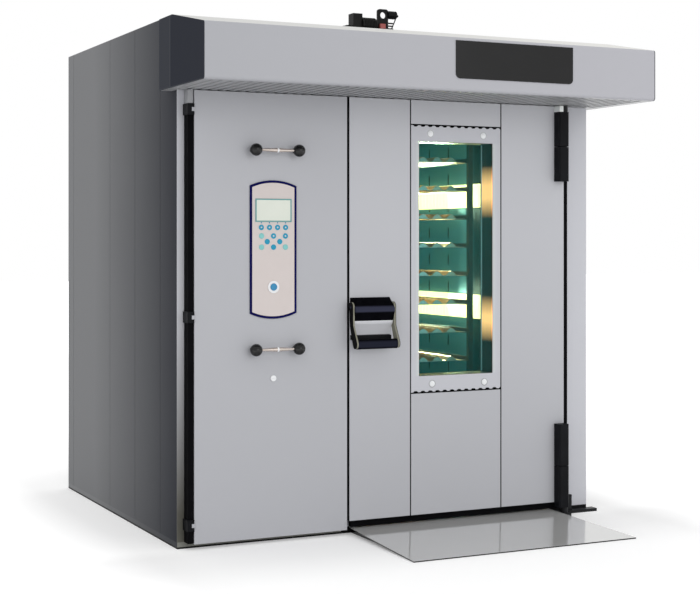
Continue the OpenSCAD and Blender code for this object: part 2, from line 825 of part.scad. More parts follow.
// One side of the rack: two posts, top and bottom rails and a ledge for each tray. The ledges
// are welded between the posts, so their shelves stop short of the cross tubes.
module side_frame() {
    top = fork_z - 4;
    rail = rack_d / 2 - tube;
    for (y = [-rack_d / 2, rack_d / 2 - tube]) block(0, tube, y, y + tube, rack_base_z, top);
    block(0, tube, -rack_d / 2, rack_d / 2, rack_base_z, rack_base_z + tube);
    block(0, tube, -rack_d / 2, rack_d / 2, top - tube, top);
    block(tube - 3, tube + head_ledge, -rack_d / 2 + 2, rack_d / 2 - 2, head_z - 8, head_z);
    for (i = [0 : tray_count - 1]) {
        z = tray_z + i * tray_pitch;
        block(tube - ledge_t, tube, -rail - 1, rail + 1, z - ledge_h, z);
        block(tube - ledge_t, tube + ledge_w, -rail + fit, rail - fit, z - ledge_h, z - ledge_h + ledge_t);
    }
}

module rack_side_frames() {
    color(steel) place() translate([rack_x, rack_y, 0]) {
        translate([-rack_w / 2, 0, 0]) side_frame();
        translate([rack_w / 2, 0, 0]) mirror([1, 0, 0]) side_frame();
    }
}

caster_in = 46;
caster_y = rack_d / 2 - 75;

// Cross tubes between the two sides, corner plates over the front casters, and the two fixed
// rear caster forks.
module rack_ties() {
    w = rack_w / 2 - tube;
    plate_w = 60;
    plate_d = 38;
    color(steel) place() translate([rack_x, rack_y, 0]) {
        for (y = [-rack_d / 2, rack_d / 2 - tube]) block(-w, w, y, y + tube, rack_base_z, rack_base_z + tube);
        block(-w, w, -rack_d / 2, tube - rack_d / 2, fork_z - 4 - tube, fork_z - 4);
        block(-w, w, rack_d / 2 - tube, rack_d / 2, head_z - 24 - tube, head_z - 24);
        for (s = [-1, 1]) {
            block(s < 0 ? -w : w - plate_w, s < 0 ? plate_w - w : w, -rack_d / 2, plate_d - caster_y,
                rack_base_z, rack_base_z + 4);
            translate([s * (rack_w / 2 - caster_in), caster_y, 0]) caster_yoke();
        }
    }
}

// Yoke of a caster: top plate, two cheeks and the wheel's axle.
module caster_yoke() {
    cheek_in = 17;
    block(-30, 30, -38, 38, rack_base_z - 4, rack_base_z);
    for (x = [-cheek_in - 3, cheek_in]) hull() {
        block(x, x + 3, -24, 24, rack_base_z - 6, rack_base_z - 2);
        rod_x(0, caster_z + caster_r, 14, x, x + 3);
    }
    rod_x(0, caster_z + caster_r, 6, -cheek_in - 1, cheek_in + 1);
}

module caster_swivel(s) {
    trail = 24;
    color([0.6, 0.6, 0.6]) place() translate([rack_x + s * (rack_w / 2 - caster_in), rack_y - caster_y, 0]) {
        translate([0, 0, rack_base_z - 10]) cylinder(h = 10, r = 26);
        for (x = [-20, 17]) hull() {
            translate([x, -20, rack_base_z - 10]) cube([3, 40, 4]);
            rod_x(trail, caster_z + caster_r, 13, x, x + 3);
        }
        rod_x(trail, caster_z + caster_r, 6, -18, 18);
    }
}

module caster_fork_left() { caster_swivel(-1); }
module caster_fork_right() { caster_swivel(1); }

module caster_wheel() {
    color([0.12, 0.12, 0.12]) rotate([0, 90, 0]) difference() {
        union() {
            translate([0, 0, -13]) cylinder(h = 26, r = caster_r - 3);
            translate([0, 0, -10]) cylinder(h = 20, r = caster_r);
            translate([0, 0, -16]) cylinder(h = 32, r = 13);
        }
        translate([0, 0, -20]) cylinder(h = 40, r = 6 + pin_fit);
    }
}

module wheel_at(s, y) {
    place() translate([rack_x + s * (rack_w / 2 - caster_in), rack_y + y, caster_z + caster_r]) caster_wheel();
}

module wheel_front_left() { wheel_at(-1, -caster_y + 24); }
module wheel_front_right() { wheel_at(1, -caster_y + 24); }
module wheel_rear_left() { wheel_at(-1, caster_y); }
module wheel_rear_right() { wheel_at(1, caster_y); }

groove_count = 7;
steps = 8;
function wave(x) = -groove_h / 2 * cos(360 * x / groove_w);

// Corrugated sheet with a flat rim at each side that lies on the rack's ledges.
module wave_tray() {
    n = groove_count * steps;
    half = groove_count * groove_w / 2;
    low = -groove_h / 2;
    x = [for (i = [0 : n]) -half + 2 * half * i / n];
    profile = concat([[-tray_w / 2, low + tray_t]], [for (v = x) [v, wave(v + half) + tray_t]],
        [[tray_w / 2, low + tray_t], [tray_w / 2, low]], [for (i = [0 : n]) [x[n - i], wave(x[n - i] + half)]],
        [[-tray_w / 2, low]]);
    rotate([90, 0, 0]) translate([0, 0, -tray_d / 2]) linear_extrude(tray_d) polygon(profile);
}

module wave_trays() {
    color([0.80, 0.62, 0.35]) place() for (i = [0 : tray_count - 1])
        translate([rack_x, rack_y, tray_z + i * tray_pitch - ledge_h + ledge_t + groove_h / 2]) wave_tray();
}

// ---------------------------------------------------------------- chamber door

sleeve = 3;

// The window as a block through the door, grown by g on each side.
module window_block(g, y0, y1) {
    block(window_x - g, window_x + window_w + g, y0, y1, window_z - g, window_z + window_h + g);
}

module door_core() {
    color(black) place() difference() {
        block(door_x, door_r, face_y + 3, -back_gap, door_z, door_top);
        window_block(sleeve, face_y, 0);
    }
}

module door_skins() {
    y1 = face_y + 3;
    trim_lo = window_z - trim_h;
    trim_hi = window_z + window_h + trim_h;
    color(light_grey) place() {
        block(door_x, door_x + left_skin_w, face_y, y1, door_z, door_top);
        block(right_skin_x, door_r, face_y, y1, door_z, door_top);
        block(mid_x, mid_x + mid_skin_w, face_y, y1, door_z, trim_lo - 4);
        block(mid_x, mid_x + mid_skin_w, face_y, y1, trim_hi + 4, door_top);
    }
}

// Inner steel pan that fills the doorway, with the sleeve that lines the window.
module door_liner() {
    x0 = doorway_l + plug_gap;
    x1 = doorway_r - plug_gap + 5;
    z1 = doorway_top - 12;
    color(steel) place() difference() {
        union() {
            difference() {
                block(x0, x1, -back_gap, plug_d, door_z + 4, z1);
                block(x0 + sleeve, x1 - sleeve, 0, plug_d - sleeve, door_z + 4 + sleeve, z1 - sleeve);
            }
            window_block(sleeve, face_y + 5, plug_d);
        }
        window_block(0, face_y - 1, plug_d + 1);
    }
}

scallop_pitch = 40;

// Trim round the window: upper and lower plates with a scalloped vent edge, and side strips.
module window_trim() {
    y1 = face_y + 3;
    x1 = mid_x + mid_skin_w;
    lo = window_z - trim_h;
    hi = window_z + window_h + trim_h;
    color(steel) place() difference() {
        union() {
            block(mid_x, x1, face_y, y1, lo, window_z - 1);
            block(mid_x, x1, face_y, y1, window_z + window_h + 1, hi);
            block(mid_x, window_x - 1, face_y, y1, window_z - 2, window_z + window_h + 2);
            block(window_x + window_w + 1, x1, face_y, y1, window_z - 2, window_z + window_h + 2);
        }
        for (x = [mid_x + 24 : scallop_pitch : x1 - 20], z = [lo, hi]) rod_y(x, z, 8, face_y - 1, y1 + 1);
    }
}

module window_panes() {
    color([0.2, 0.6, 0.6, 0.4]) place() {
        window_block(-fit, face_y + 9, face_y + 9 + glass_t);
        window_block(-fit, plug_d - 4 - glass_t, plug_d - 4);
    }
}

module door_gasket() {
    x0 = doorway_l + plug_gap;
    x1 = doorway_r - plug_gap + 5;
    color(black) place() {
        difference() {
            block(x0 - 34, x1 + 26, -back_gap, -fit, door_z + 2, doorway_top + 24);
            block(x0 - fit, x1 + fit, -back_gap - 1, 1, door_z - 1, doorway_top - 12 + fit);
        }
        block(door_x + 14, door_r - 10, face_y + 18, face_y + 38, base_h + 5, door_z);
    }
}

// Black hinge cover in two halves, bored for the pivot pin.
module hinge_cover(z0, h) {
    x0 = door_r - cover_w + 1;
    split = 3;
    difference() {
        for (z = [z0, z0 + (h + split) / 2]) difference() {
            block(x0, x0 + cover_w, face_y - 50, face_y, z, z + (h - split) / 2);
            for (x = [x0, x0 + cover_w]) translate([x, face_y - 50, z - 1]) rotate([0, 0, 45])
                cube([9, 9, h + 2], center = true);
        }
        translate([pivot_x, pivot_y, z0 - 1]) cylinder(h = h + 2, r = pivot_dia / 2 + pin_fit);
    }
}

upper_cover_z = door_top - 30 - upper_cover_h;

module hinge_covers() {
    color(black) place() {
        hinge_cover(upper_cover_z, upper_cover_h);
        hinge_cover(lower_cover_z, lower_cover_h);
    }
}

// Upper pivot boss under the hood, and the floor plate with the lower pivot and its stop block.
module door_pivots() {
    boss_z = door_top - 29;
    plate_t = 15;
    plate_out = 34;
    pin_h = 90;
    color([0.25, 0.25, 0.26]) place() {
        translate([pivot_x, pivot_y, boss_z]) cylinder(h = hood_z - boss_z, r = 18);
        translate([pivot_x, pivot_y, boss_z - pin_h]) cylinder(h = pin_h + 1, r = pivot_dia / 2);
        block(pivot_x - 24, pivot_x + 26, pivot_y - 26, 0, 0, plate_t);
        block(pivot_x - 24, body_w + plate_out, -46, 0, 0, plate_t);
        translate([pivot_x, pivot_y, plate_t - 1]) cylinder(h = lower_cover_z - plate_t + 1, r = 19);
        translate([pivot_x, pivot_y, plate_t - 1]) cylinder(h = lower_cover_z + 53, r = pivot_dia / 2);
        block(door_r + 30, door_r + 66, -30, -3, plate_t - 1, 92);
    }
}

// ---------------------------------------------------------------- door handle

housing_x = door_x + 3;
lever_y = face_y - 30;
lever_z = housing_z - 42;
ridge_out = 64;

// Black roof-shaped housing with the two pivot stubs of the lever.
module handle_housing() {
    y = face_y;
    z = housing_z;
    color(black) place() {
        along_x(housing_x, housing_x + housing_w) polygon([[y, z], [y - 8, z], [y - ridge_out + 4, z - 44],
            [y - ridge_out, z - 50], [y - ridge_out, z - 66], [y - ridge_out + 4, z - 72],
            [y - 42, z - 108], [y, z - 108]]);
        rod_x(lever_y, lever_z, lever_pin / 2, housing_x - arm_t - 2, housing_x + housing_w + arm_t + 2);
    }
}

// Steel scoop below the housing, hollowed by a large arc so that fingers reach behind the grip.
module handle_scoop() {
    y = face_y;
    top = housing_z - 108;
    h = 74;
    color(steel) place() along_x(housing_x, housing_x + housing_w) difference() {
        polygon([[y, top], [y - 42, top], [y - 42, top - 4], [y - 10, top - h], [y, top - h]]);
        translate([y - 96, top - h - 6]) circle(88);
    }
}

// Arms of the lever, outside the housing's ends, drawn as a side view.
module handle_arm(x) {
    along_x(x, x + arm_t) difference() {
        union() {
            translate([lever_y, lever_z]) circle(22);
            hull() {
                translate([lever_y - 4, lever_z]) circle(18);
                translate([lever_y - 8, lever_z - 90]) circle(15);
            }
            hull() {
                translate([lever_y - 8, lever_z - 90]) circle(15);
                translate([grip_y, grip_z]) circle(21);
            }
        }
        translate([lever_y, lever_z]) circle(lever_pin / 2 + pin_fit);
    }
}

grip_y = face_y - 75;
grip_z = housing_z - 215;

module handle_arms() {
    color(steel) place() {
        handle_arm(housing_x - arm_t - 2);
        handle_arm(housing_x + housing_w + 2);
    }
}

module handle_grip() {
    color(black) place() along_x(housing_x - 2, housing_x + housing_w + 2) {
        translate([grip_y, grip_z + 8]) circle(15);
        translate([grip_y, grip_z - 8]) circle(15);
        translate([grip_y - 15, grip_z - 8]) square([30, 16]);
    }
}

// ---------------------------------------------------------------- service door

lower_hinge_z = service_z + 85;
upper_hinge_z = service_top - 86;
hinge_levels = [lower_hinge_z, (lower_hinge_z + upper_hinge_z) / 2, upper_hinge_z];
leaf_t = 6;

// Fixed leaves: each wraps the filler strip from the post's face to the knuckles.
module service_hinge_leaves() {
    color(black) place() for (z = hinge_levels) {
        difference() {
            block(filler_x - leaf_t, hinge_x, hinge_y - 4, 0, z - hinge_h / 2, z + hinge_h / 2);
            translate([hinge_x, hinge_y, z - 9]) cylinder(h = 18, r = knuckle_r + 1);
            block(filler_x - fit, hinge_x + 1, hinge_y + knuckle_r, 1, z - hinge_h, z + hinge_h);
        }
        for (s = [z - hinge_h / 2, z + 9]) translate([hinge_x, hinge_y, s])
            cylinder(h = hinge_h / 2 - 9, r = knuckle_r);
        translate([hinge_x, hinge_y, z - hinge_h / 2]) cylinder(h = hinge_h, r = knuckle_r * 0.5);
    }
}

// Double-skinned panel with the middle knuckles of its three hinges.
module service_door_panel() {
    color(light_grey) place() difference() {
        union() {
            block(service_x, service_r, face_y, -back_gap, service_z, service_top);
            for (z = hinge_levels) {
                translate([hinge_x, hinge_y, z - 8.5]) cylinder(h = 17, r = knuckle_r);
                block(hinge_x, service_x + 2, hinge_y - 2, hinge_y + 6, z - 8.5, z + 8.5);
            }
        }
        block(service_x + sheet, service_r - sheet, face_y + sheet, -back_gap - sheet,
            service_z + sheet, service_top - sheet);
        for (z = hinge_levels) translate([hinge_x, hinge_y, z - 10])
            cylinder(h = 20, r = knuckle_r * 0.5 + pin_fit);
        rod_y(lock_x, lock_z, lock_r + pin_fit, face_y - 1, face_y + sheet + 1);
    }
}

panel_cx = service_x + panel_x + panel_w / 2;
panel_cz = panel_z + panel_h / 2;

// Outline of the control panel, shrunk by g: straight sides between two shallow arcs.
module panel_outline(g) {
    arc_r = (pow(panel_w / 2, 2) + pow(panel_rise, 2)) / (2 * panel_rise);
    for (s = [-1, 1]) intersection() {
        translate([0, s * (panel_h / 2 - arc_r)]) circle(arc_r - g, $fn = 180);
        translate([-panel_w / 2 + g, s > 0 ? 0 : -panel_h / 2]) square([panel_w - 2 * g, panel_h / 2]);
    }
}

// A flat piece on the service door's face, drawn as [x, z] and standing out to height out.
module on_face(out0, out1) {
    translate([0, face_y - out0, 0]) rotate([90, 0, 0]) linear_extrude(out1 - out0) children();
}

module control_surround() {
    color([0.05, 0.05, 0.4]) place() on_face(0, 4) translate([panel_cx, panel_cz]) difference() {
        panel_outline(0);
        panel_outline(surround_w);
    }
}

start_z = panel_z + 145;
ring_r = start_dia / 2 + 12;

module control_face() {
    color([0.84, 0.80, 0.80]) place() difference() {
        union() {
            on_face(0, 5) translate([panel_cx, panel_cz]) panel_outline(surround_w + fit);
            on_face(4, 7) translate([panel_cx, start_z]) circle(ring_r);
        }
        on_face(0.5, 8) translate([panel_cx, start_z]) circle(start_dia / 2 + fit);
    }
}

lcd_w = 167;
lcd_h = 94;
lcd_z = panel_z + 448;

module display_lens() {
    color([0.9, 0.92, 0.9]) place() on_face(5, 7) translate([panel_cx - lcd_w / 2, lcd_z]) square([lcd_w, lcd_h]);
}

key_row_z = [417, 378, 352, 327];
key_cols = [[-60, -20, 20, 60], [-59, 0, 59], [-31, 31], [-59, 0, 59]];

module keypad_keys() {
    color([0.1, 0.7, 0.85]) place() for (r = [0 : 3], x = key_cols[r])
        on_face(5, 6.5) translate([panel_cx + x, panel_z + key_row_z[r]]) circle(key_dia / 2);
}

module start_button() {
    color([0.1, 0.55, 0.75]) place() rod_y(panel_cx, start_z, start_dia / 2, face_y - 11, face_y - start_travel - 1);
}

pull_below_panel = 138;
pull_below_top = 261;
pull_levels = [panel_z - pull_below_panel, service_top - pull_below_top];
pull_x = service_x + 280;
pull_seat = 14;
pull_end_r = spindle_dia * 0.275;

// Turned spindle that swells to a collar in the middle; its plain ends seat in the balls.
module pull_bars() {
    y = face_y - ball_out;
    half = ball_pitch / 2;
    end = half - pull_seat - fit;
    neck = half - ball_dia / 2 - 2;
    r = spindle_dia / 2;
    color([0.85, 0.84, 0.82]) place() for (z = pull_levels)
        translate([pull_x + half, y, z]) rotate([0, 90, 0]) rotate_extrude()
            polygon([[0, -end], [pull_end_r, -end], [pull_end_r, -neck], [r * 0.95, -10], [r, -8], [r, 8],
                [r * 0.95, 10], [pull_end_r, neck], [pull_end_r, end], [0, end]]);
}

module pull_knobs() {
    y = face_y - ball_out;
    r = ball_dia / 2;
    color(black) place() for (z = pull_levels, x = [pull_x, pull_x + ball_pitch]) difference() {
        union() {
            translate([x, y, z]) sphere(r);
            rod_y(x, z, r * 0.5, y, face_y);
        }
        translate([pull_x + pull_seat, y, z]) rotate([0, 90, 0])
            cylinder(h = ball_pitch - 2 * pull_seat, r = pull_end_r + fit);
    }
}

lock_below_panel = 272;
lock_x = panel_cx;
lock_z = panel_z - lock_below_panel;
lock_r = 9;

module service_lock() {
    color([0.85, 0.85, 0.85]) place() difference() {
        union() {
            rod_y(lock_x, lock_z, 13.5, face_y - 7, face_y - fit);
            rod_y(lock_x, lock_z, lock_r, face_y - 1, face_y + 22);
            block(lock_x - 10, lock_x + 34, face_y + 14, face_y + 18, lock_z - 8, lock_z + 8);
        }
        block(lock_x - 10, lock_x + 10, face_y - 8, face_y - 5, lock_z - 1.2, lock_z + 1.2);
    }
}

base_frame();
chamber_floor();
side_panels();
back_panels();
roof_panels();
front_frame();
frame_seals();
hood_fascia();
hood_lid();
hood_ends();
hood_underside();
ramp();
chamber_walls();
chamber_ceiling();
insulation_slabs();
oven_lamps();
heat_exchanger();
burner();
fan_housing();
fan_motor();
fan_wheel();
flue_collar();
drive_stand();
gear_motor();
rotation_switch();
drive_pinion();
rotor_gear();
rotor_shaft();
hanger_fork();
rack_side_frames();
rack_ties();
wave_trays();
caster_fork_left();
caster_fork_right();
wheel_front_left();
wheel_front_right();
wheel_rear_left();
wheel_rear_right();
door_pivots();
door_core();
door_skins();
door_liner();
window_trim();
window_panes();
door_gasket();
hinge_covers();
handle_housing();
handle_scoop();
handle_arms();
handle_grip();
service_hinge_leaves();
service_door_panel();
control_surround();
control_face();
display_lens();
keypad_keys();
start_button();
pull_bars();
pull_knobs();
service_lock();
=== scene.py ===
"""Looks of the rotating rack oven: its finishes, the small fittings on it, the light and the camera.

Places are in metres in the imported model's frame: X runs to the right of the front, Y towards the
back and Z up.
"""

import json
import math

import bmesh
import bpy
from mathutils import Matrix, Vector


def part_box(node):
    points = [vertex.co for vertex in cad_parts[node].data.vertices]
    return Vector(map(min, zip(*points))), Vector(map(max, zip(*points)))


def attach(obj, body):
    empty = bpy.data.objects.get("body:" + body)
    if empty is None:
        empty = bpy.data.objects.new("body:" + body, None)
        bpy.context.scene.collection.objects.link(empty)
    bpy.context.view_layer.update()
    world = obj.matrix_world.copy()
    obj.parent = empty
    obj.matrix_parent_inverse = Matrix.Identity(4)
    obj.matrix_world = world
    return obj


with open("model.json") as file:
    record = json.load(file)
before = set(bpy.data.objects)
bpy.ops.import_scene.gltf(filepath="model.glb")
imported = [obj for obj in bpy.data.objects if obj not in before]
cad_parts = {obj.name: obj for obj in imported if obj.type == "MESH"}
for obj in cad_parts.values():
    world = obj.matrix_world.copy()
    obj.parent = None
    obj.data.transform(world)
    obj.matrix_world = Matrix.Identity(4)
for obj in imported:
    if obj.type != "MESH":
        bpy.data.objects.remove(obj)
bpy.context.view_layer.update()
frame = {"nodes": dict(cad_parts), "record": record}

nodes = frame["nodes"]
scene = bpy.context.scene


# ---------------------------------------------------------------- shader tools


def tone(red, green, blue):
    """Linear colour with alpha from an sRGB colour whose parts run from 0 to 255."""
    parts = [c / 255 for c in (red, green, blue)]
    return tuple(c / 12.92 if c <= 0.04045 else ((c + 0.055) / 1.055) ** 2.4 for c in parts) + (1.0,)


class Channel:
    """A shader socket that takes part in arithmetic: each operation adds a Math node."""

    def __init__(self, shader, socket):
        self.shader = shader
        self.socket = socket

    def math(self, operation, first, second, clamp=False):
        settings = {"operation": operation, "use_clamp": clamp}
        return self.shader.add("ShaderNodeMath", settings, {0: first, 1: second})

    def __add__(self, other):
        return self.math("ADD", self, other)

    def __sub__(self, other):
        return self.math("SUBTRACT", self, other)

    def __rsub__(self, other):
        return self.math("SUBTRACT", other, self)

    def __mul__(self, other):
        return self.math("MULTIPLY", self, other)

    def __truediv__(self, other):
        return self.math("DIVIDE", self, other)

    __radd__ = __add__
    __rmul__ = __mul__

    def power(self, exponent):
        return self.math("POWER", self, exponent)

    def size(self):
        """The value without its sign."""
        return self.math("ABSOLUTE", self, 0.0)

    def clamped(self):
        return self.math("ADD", self, 0.0, clamp=True)

    def swing(self, amount):
        """Turns a value between 0 and 1 into one that swings about 0 by half an amount each way."""
        return (self - 0.5) * amount


class Shader:
    """A node tree under construction. Its nodes are all made by add()."""

    def __init__(self, tree):
        self.tree = tree
        tree.nodes.clear()

    def add(self, kind, settings=None, inputs=None, output=0):
        node = self.tree.nodes.new(kind)
        for key, value in (settings or {}).items():
            setattr(node, key, value)
        for key, value in (inputs or {}).items():
            if isinstance(value, Channel):
                self.tree.links.new(value.socket, node.inputs[key])
            else:
                node.inputs[key].default_value = value
        return Channel(self, node.outputs[output]) if len(node.outputs) else None

    def place(self, axis=None):
        """Object coordinates, or one axis of them."""
        where = self.add("ShaderNodeTexCoord", output="Object")
        return where if axis is None else self.add("ShaderNodeSeparateXYZ", None, {0: where}, axis)

    def noise(self, scale, detail, stretch=(1.0, 1.0, 1.0)):
        where = self.add("ShaderNodeMapping", None, {"Vector": self.place(), "Scale": stretch})
        return self.add("ShaderNodeTexNoise", None, {"Vector": where, "Scale": scale, "Detail": detail})

    def ramp(self, axis, start, end):
        """Runs from 0 to 1 between two places on an axis."""
        return ((self.place(axis) - start) / (end - start)).clamped()

    def step(self, axis, at, soft=0.0005):
        """0 before a place on an axis and 1 past it, with a soft edge."""
        return self.ramp(axis, at - soft, at + soft)

    def band(self, axis, low, high, soft=0.0005):
        """1 between two places on an axis and 0 outside them, with soft edges."""
        return self.step(axis, low, soft) - self.step(axis, high, soft)

    def mix(self, mask, first, second):
        return self.add("ShaderNodeMix", {"data_type": "RGBA"}, {0: mask, 6: first, 7: second}, 2)

    def bump(self, height, strength, distance):
        inputs = {"Height": height, "Strength": strength, "Distance": distance}
        return self.add("ShaderNodeBump", None, inputs, "Normal")

    def surface(self, inputs):
        principled = self.add("ShaderNodeBsdfPrincipled", None, inputs)
        self.add("ShaderNodeOutputMaterial", None, {"Surface": principled})


finishes = {}


def finish(name):
    """Starts a material and returns its shader."""
    material = bpy.data.materials.new(name)
    material.use_nodes = True
    finishes[name] = material
    return Shader(material.node_tree)


# ---------------------------------------------------------------- kinds of finish

UPRIGHT = (1.0, 1.0, 0.02)
ALONG_X = (0.02, 1.0, 1.0)
RIBBED = (1.0, 1.0, 0.05)
SMEARED = (1.0, 1.0, 0.3)


def sheet_metal(name, low, high, zone, roughness, metallic, specular=0.3, grain=UPRIGHT):
    """Rolled sheet: its tone follows a zone, with a fine grain and faint handling marks."""
    s = finish(name)
    lines = s.noise(scale=420.0, detail=4.0, stretch=grain)
    cloud = s.noise(scale=2.2, detail=4.0)
    s.surface({
        "Base Color": s.mix((zone(s) + cloud.swing(0.10)).clamped(), low, high),
        "Roughness": roughness + lines.swing(0.10) + cloud.swing(0.06),
        "Metallic": metallic,
        "Specular IOR Level": specular,
        "Normal": s.bump(lines, strength=0.05, distance=0.0004),
    })


def moulded(name, colour, wear_and_sheen, roughness, coat=0.0, specular=0.3, zone=None):
    """Plastic or rubber: a pebbled skin, paler where it is handled and within a zone of painted
    highlight if it has one.
    """
    s = finish(name)
    pebble = s.noise(scale=900.0, detail=2.0)
    wear = s.noise(scale=14.0, detail=5.0).power(3.0)
    paler = wear if zone is None else (zone(s) + wear * 0.2).clamped()
    s.surface({
        "Base Color": s.mix(paler, colour, wear_and_sheen),
        "Roughness": roughness + pebble.swing(0.12),
        "Coat Weight": coat,
        "Specular IOR Level": specular,
        "Normal": s.bump(pebble, strength=0.12, distance=0.0003),
    })


DUST_FROM, DUST_GAIN = 0.45, 1.6


def coated(name, colour, dust, roughness, metallic=0.0, specular=0.3):
    """Enamel or plated surface with dust that lies in soft patches."""
    s = finish(name)
    patches = s.noise(scale=9.0, detail=5.0)
    peel = s.noise(scale=260.0, detail=2.0)
    s.surface({
        "Base Color": s.mix(((patches - DUST_FROM) * DUST_GAIN).clamped(), colour, dust),
        "Roughness": roughness + patches.swing(0.2),
        "Metallic": metallic,
        "Specular IOR Level": specular,
        "Normal": s.bump(peel, strength=0.10, distance=0.0004),
    })


def speckled(name, low, high, scale, detail, roughness):
    """A small painted part in two close tones."""
    s = finish(name)
    speckle = s.noise(scale, detail)
    s.surface({
        "Base Color": s.mix(speckle, low, high),
        "Roughness": roughness + speckle.swing(0.1),
    })


def along(axis, start, end):
    """Zone that grows from one place on an axis to another."""
    return lambda s: s.ramp(axis, start, end)


def sheen(low, high, soft):
    """Zone of a painted highlight between two heights."""
    return lambda s: s.band("Z", low, high, soft)


# ---------------------------------------------------------------- finishes of the record's slots

BLACK = tone(4, 4, 6)
# Painted shade and reflection on the side panels: dark at the front, paler towards the back.
SIDE_PAINTED_SHADE, SIDE_PAINTED_REFLECTION = tone(44, 46, 53), tone(128, 129, 131)
side_painted_shading = along("Y", -0.60, 0.75)

# Painted shade: the light panels turn a little darker towards the bottom.
sheet_metal(
    "light_panel", tone(179, 180, 185), tone(184, 185, 190), along("Z", 0.05, 1.7),
    roughness=0.46, metallic=0.0, specular=0.2,
)
sheet_metal(
    "dark_panel", SIDE_PAINTED_SHADE, SIDE_PAINTED_REFLECTION, side_painted_shading,
    roughness=0.55, metallic=0.0, specular=0.02,
)
sheet_metal(
    "stainless", tone(190, 190, 186), tone(214, 213, 207), along("X", -0.4, 1.1),
    roughness=0.30, metallic=0.85, specular=0.5, grain=ALONG_X,
)
sheet_metal(
    "chamber_steel", tone(150, 146, 130), tone(196, 184, 150), along("Z", 0.1, 1.9),
    roughness=0.28, metallic=0.80,
)
sheet_metal(
    "rack_steel", tone(74, 68, 66), tone(104, 96, 86), along("Z", 0.1, 1.9),
    roughness=0.34, metallic=0.85,
)
sheet_metal(
    "tray_steel", tone(178, 132, 66), tone(214, 170, 96), along("Y", -0.1, 0.8),
    roughness=0.36, metallic=0.70, specular=0.5, grain=ALONG_X,
)
sheet_metal(
    "galvanised", tone(138, 140, 142), tone(176, 178, 180), along("Z", 0.0, 2.0),
    roughness=0.42, metallic=0.75,
)
sheet_metal(
    "gear_steel", tone(120, 120, 122), tone(156, 156, 158), along("X", 0.1, 0.5),
    roughness=0.32, metallic=0.90,
)
sheet_metal(
    "chrome", tone(172, 160, 152), tone(206, 196, 190), along("X", -0.8, -0.5),
    roughness=0.20, metallic=0.7, specular=0.5, grain=ALONG_X,
)
moulded("rubber", tone(6, 6, 8), tone(20, 20, 22), roughness=0.75, specular=0.05)
moulded("black_trim", tone(14, 15, 18), tone(30, 31, 36), roughness=0.45, specular=0.08)
moulded("wheel_black", tone(22, 22, 22), tone(48, 47, 45), roughness=0.62)
moulded("knob_black", tone(6, 6, 7), tone(18, 18, 20), roughness=0.20, specular=0.35)
moulded("panel_blue", tone(6, 6, 70), tone(16, 18, 92), roughness=0.40, specular=0.05)
moulded("panel_face", tone(212, 203, 200), tone(220, 212, 210), roughness=0.42, specular=0.1)
moulded("display", tone(220, 225, 214), tone(228, 232, 222), roughness=0.18)
moulded("key_cyan", tone(6, 142, 178), tone(44, 172, 200), roughness=0.36)
moulded("start_blue", tone(16, 128, 176), tone(48, 152, 196), roughness=0.28, coat=0.4)
moulded("lock_white", tone(232, 234, 236), tone(244, 245, 246), roughness=0.30, coat=0.3)
coated("drive_black", tone(10, 10, 10), tone(38, 37, 33), roughness=0.46, specular=0.15)
coated("pivot_steel", tone(30, 31, 33), tone(62, 63, 64), roughness=0.40, metallic=0.3, specular=0.2)
coated("motor_paint", tone(54, 66, 80), tone(84, 92, 100), roughness=0.44)
coated("burner_paint", tone(66, 72, 82), tone(98, 102, 106), roughness=0.46)
coated("exchanger_steel", tone(92, 84, 78), tone(128, 112, 98), roughness=0.56, metallic=0.5)
coated("insulation", tone(62, 60, 52), tone(88, 84, 70), roughness=0.95)

LAMP_GLOW = 5.0


def lamp_cover():
    """Ribbed cover that glows warmly."""
    s = finish("lamp")
    ribs = s.noise(scale=60.0, detail=1.0, stretch=RIBBED)
    s.surface({
        "Base Color": tone(255, 240, 206),
        "Roughness": 0.4 + ribs.swing(0.2),
        "Emission Color": s.mix(ribs, tone(255, 196, 112), tone(255, 206, 130)),
        "Emission Strength": LAMP_GLOW,
    })


# A line of sight crosses four faces of the two panes, so the tint of one face is slight.
GLASS_TINT = (0.80, 0.93, 0.95, 1.0)
GLASS_HAZE, SMEAR_HAZE = 0.03, 0.04


def tinted_glass():
    """Glass that colours what lies behind it, with a light smear on its surface."""
    s = finish("window_glass")
    smear = s.noise(scale=6.0, detail=5.0, stretch=SMEARED)
    clear = s.add("ShaderNodeBsdfTransparent", None, {"Color": GLASS_TINT})
    film = s.add("ShaderNodeBsdfPrincipled", None, {
        "Base Color": s.mix(smear, tone(28, 128, 124), tone(66, 158, 150)),
        "Roughness": 0.05 + smear * 0.06,
        "Specular IOR Level": 0.2,
    })
    haze = smear * SMEAR_HAZE + GLASS_HAZE
    pane = s.add("ShaderNodeMixShader", None, {0: haze, 1: clear, 2: film})
    s.add("ShaderNodeOutputMaterial", None, {"Surface": pane})
    finishes["window_glass"].surface_render_method = "BLENDED"


lamp_cover()
tinted_glass()

# ---------------------------------------------------------------- finishes of single nodes

# Some nodes differ from the rest of their slot, and their tone follows the place on the part.
PANE_CLEARANCE = 0.0003
pane_low, pane_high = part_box("window_panes")
window_low, window_high = pane_low.z - PANE_CLEARANCE, pane_high.z + PANE_CLEARANCE

BESIDE_GLASS_LEFT, BESIDE_GLASS_RIGHT = 0.0835, 0.5255
STRIP_TONE = 0.2


def trim_zone(s):
    """Side strips are paler than the plates above and below, and a painted highlight makes them
    brightest beside the glass.
    """
    glass_edge_highlight = s.band("X", BESIDE_GLASS_LEFT, BESIDE_GLASS_RIGHT, 0.001)
    return s.band("Z", window_low, window_high) * (glass_edge_highlight * (1.0 - STRIP_TONE) + STRIP_TONE)


ARM_SKIN = 0.0025
arms_low, arms_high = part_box("handle_arms")


def arm_zone(s):
    """Outer faces of the lever's two arms."""
    return 1.0 - s.band("X", arms_low.x + ARM_SKIN, arms_high.x - ARM_SKIN)


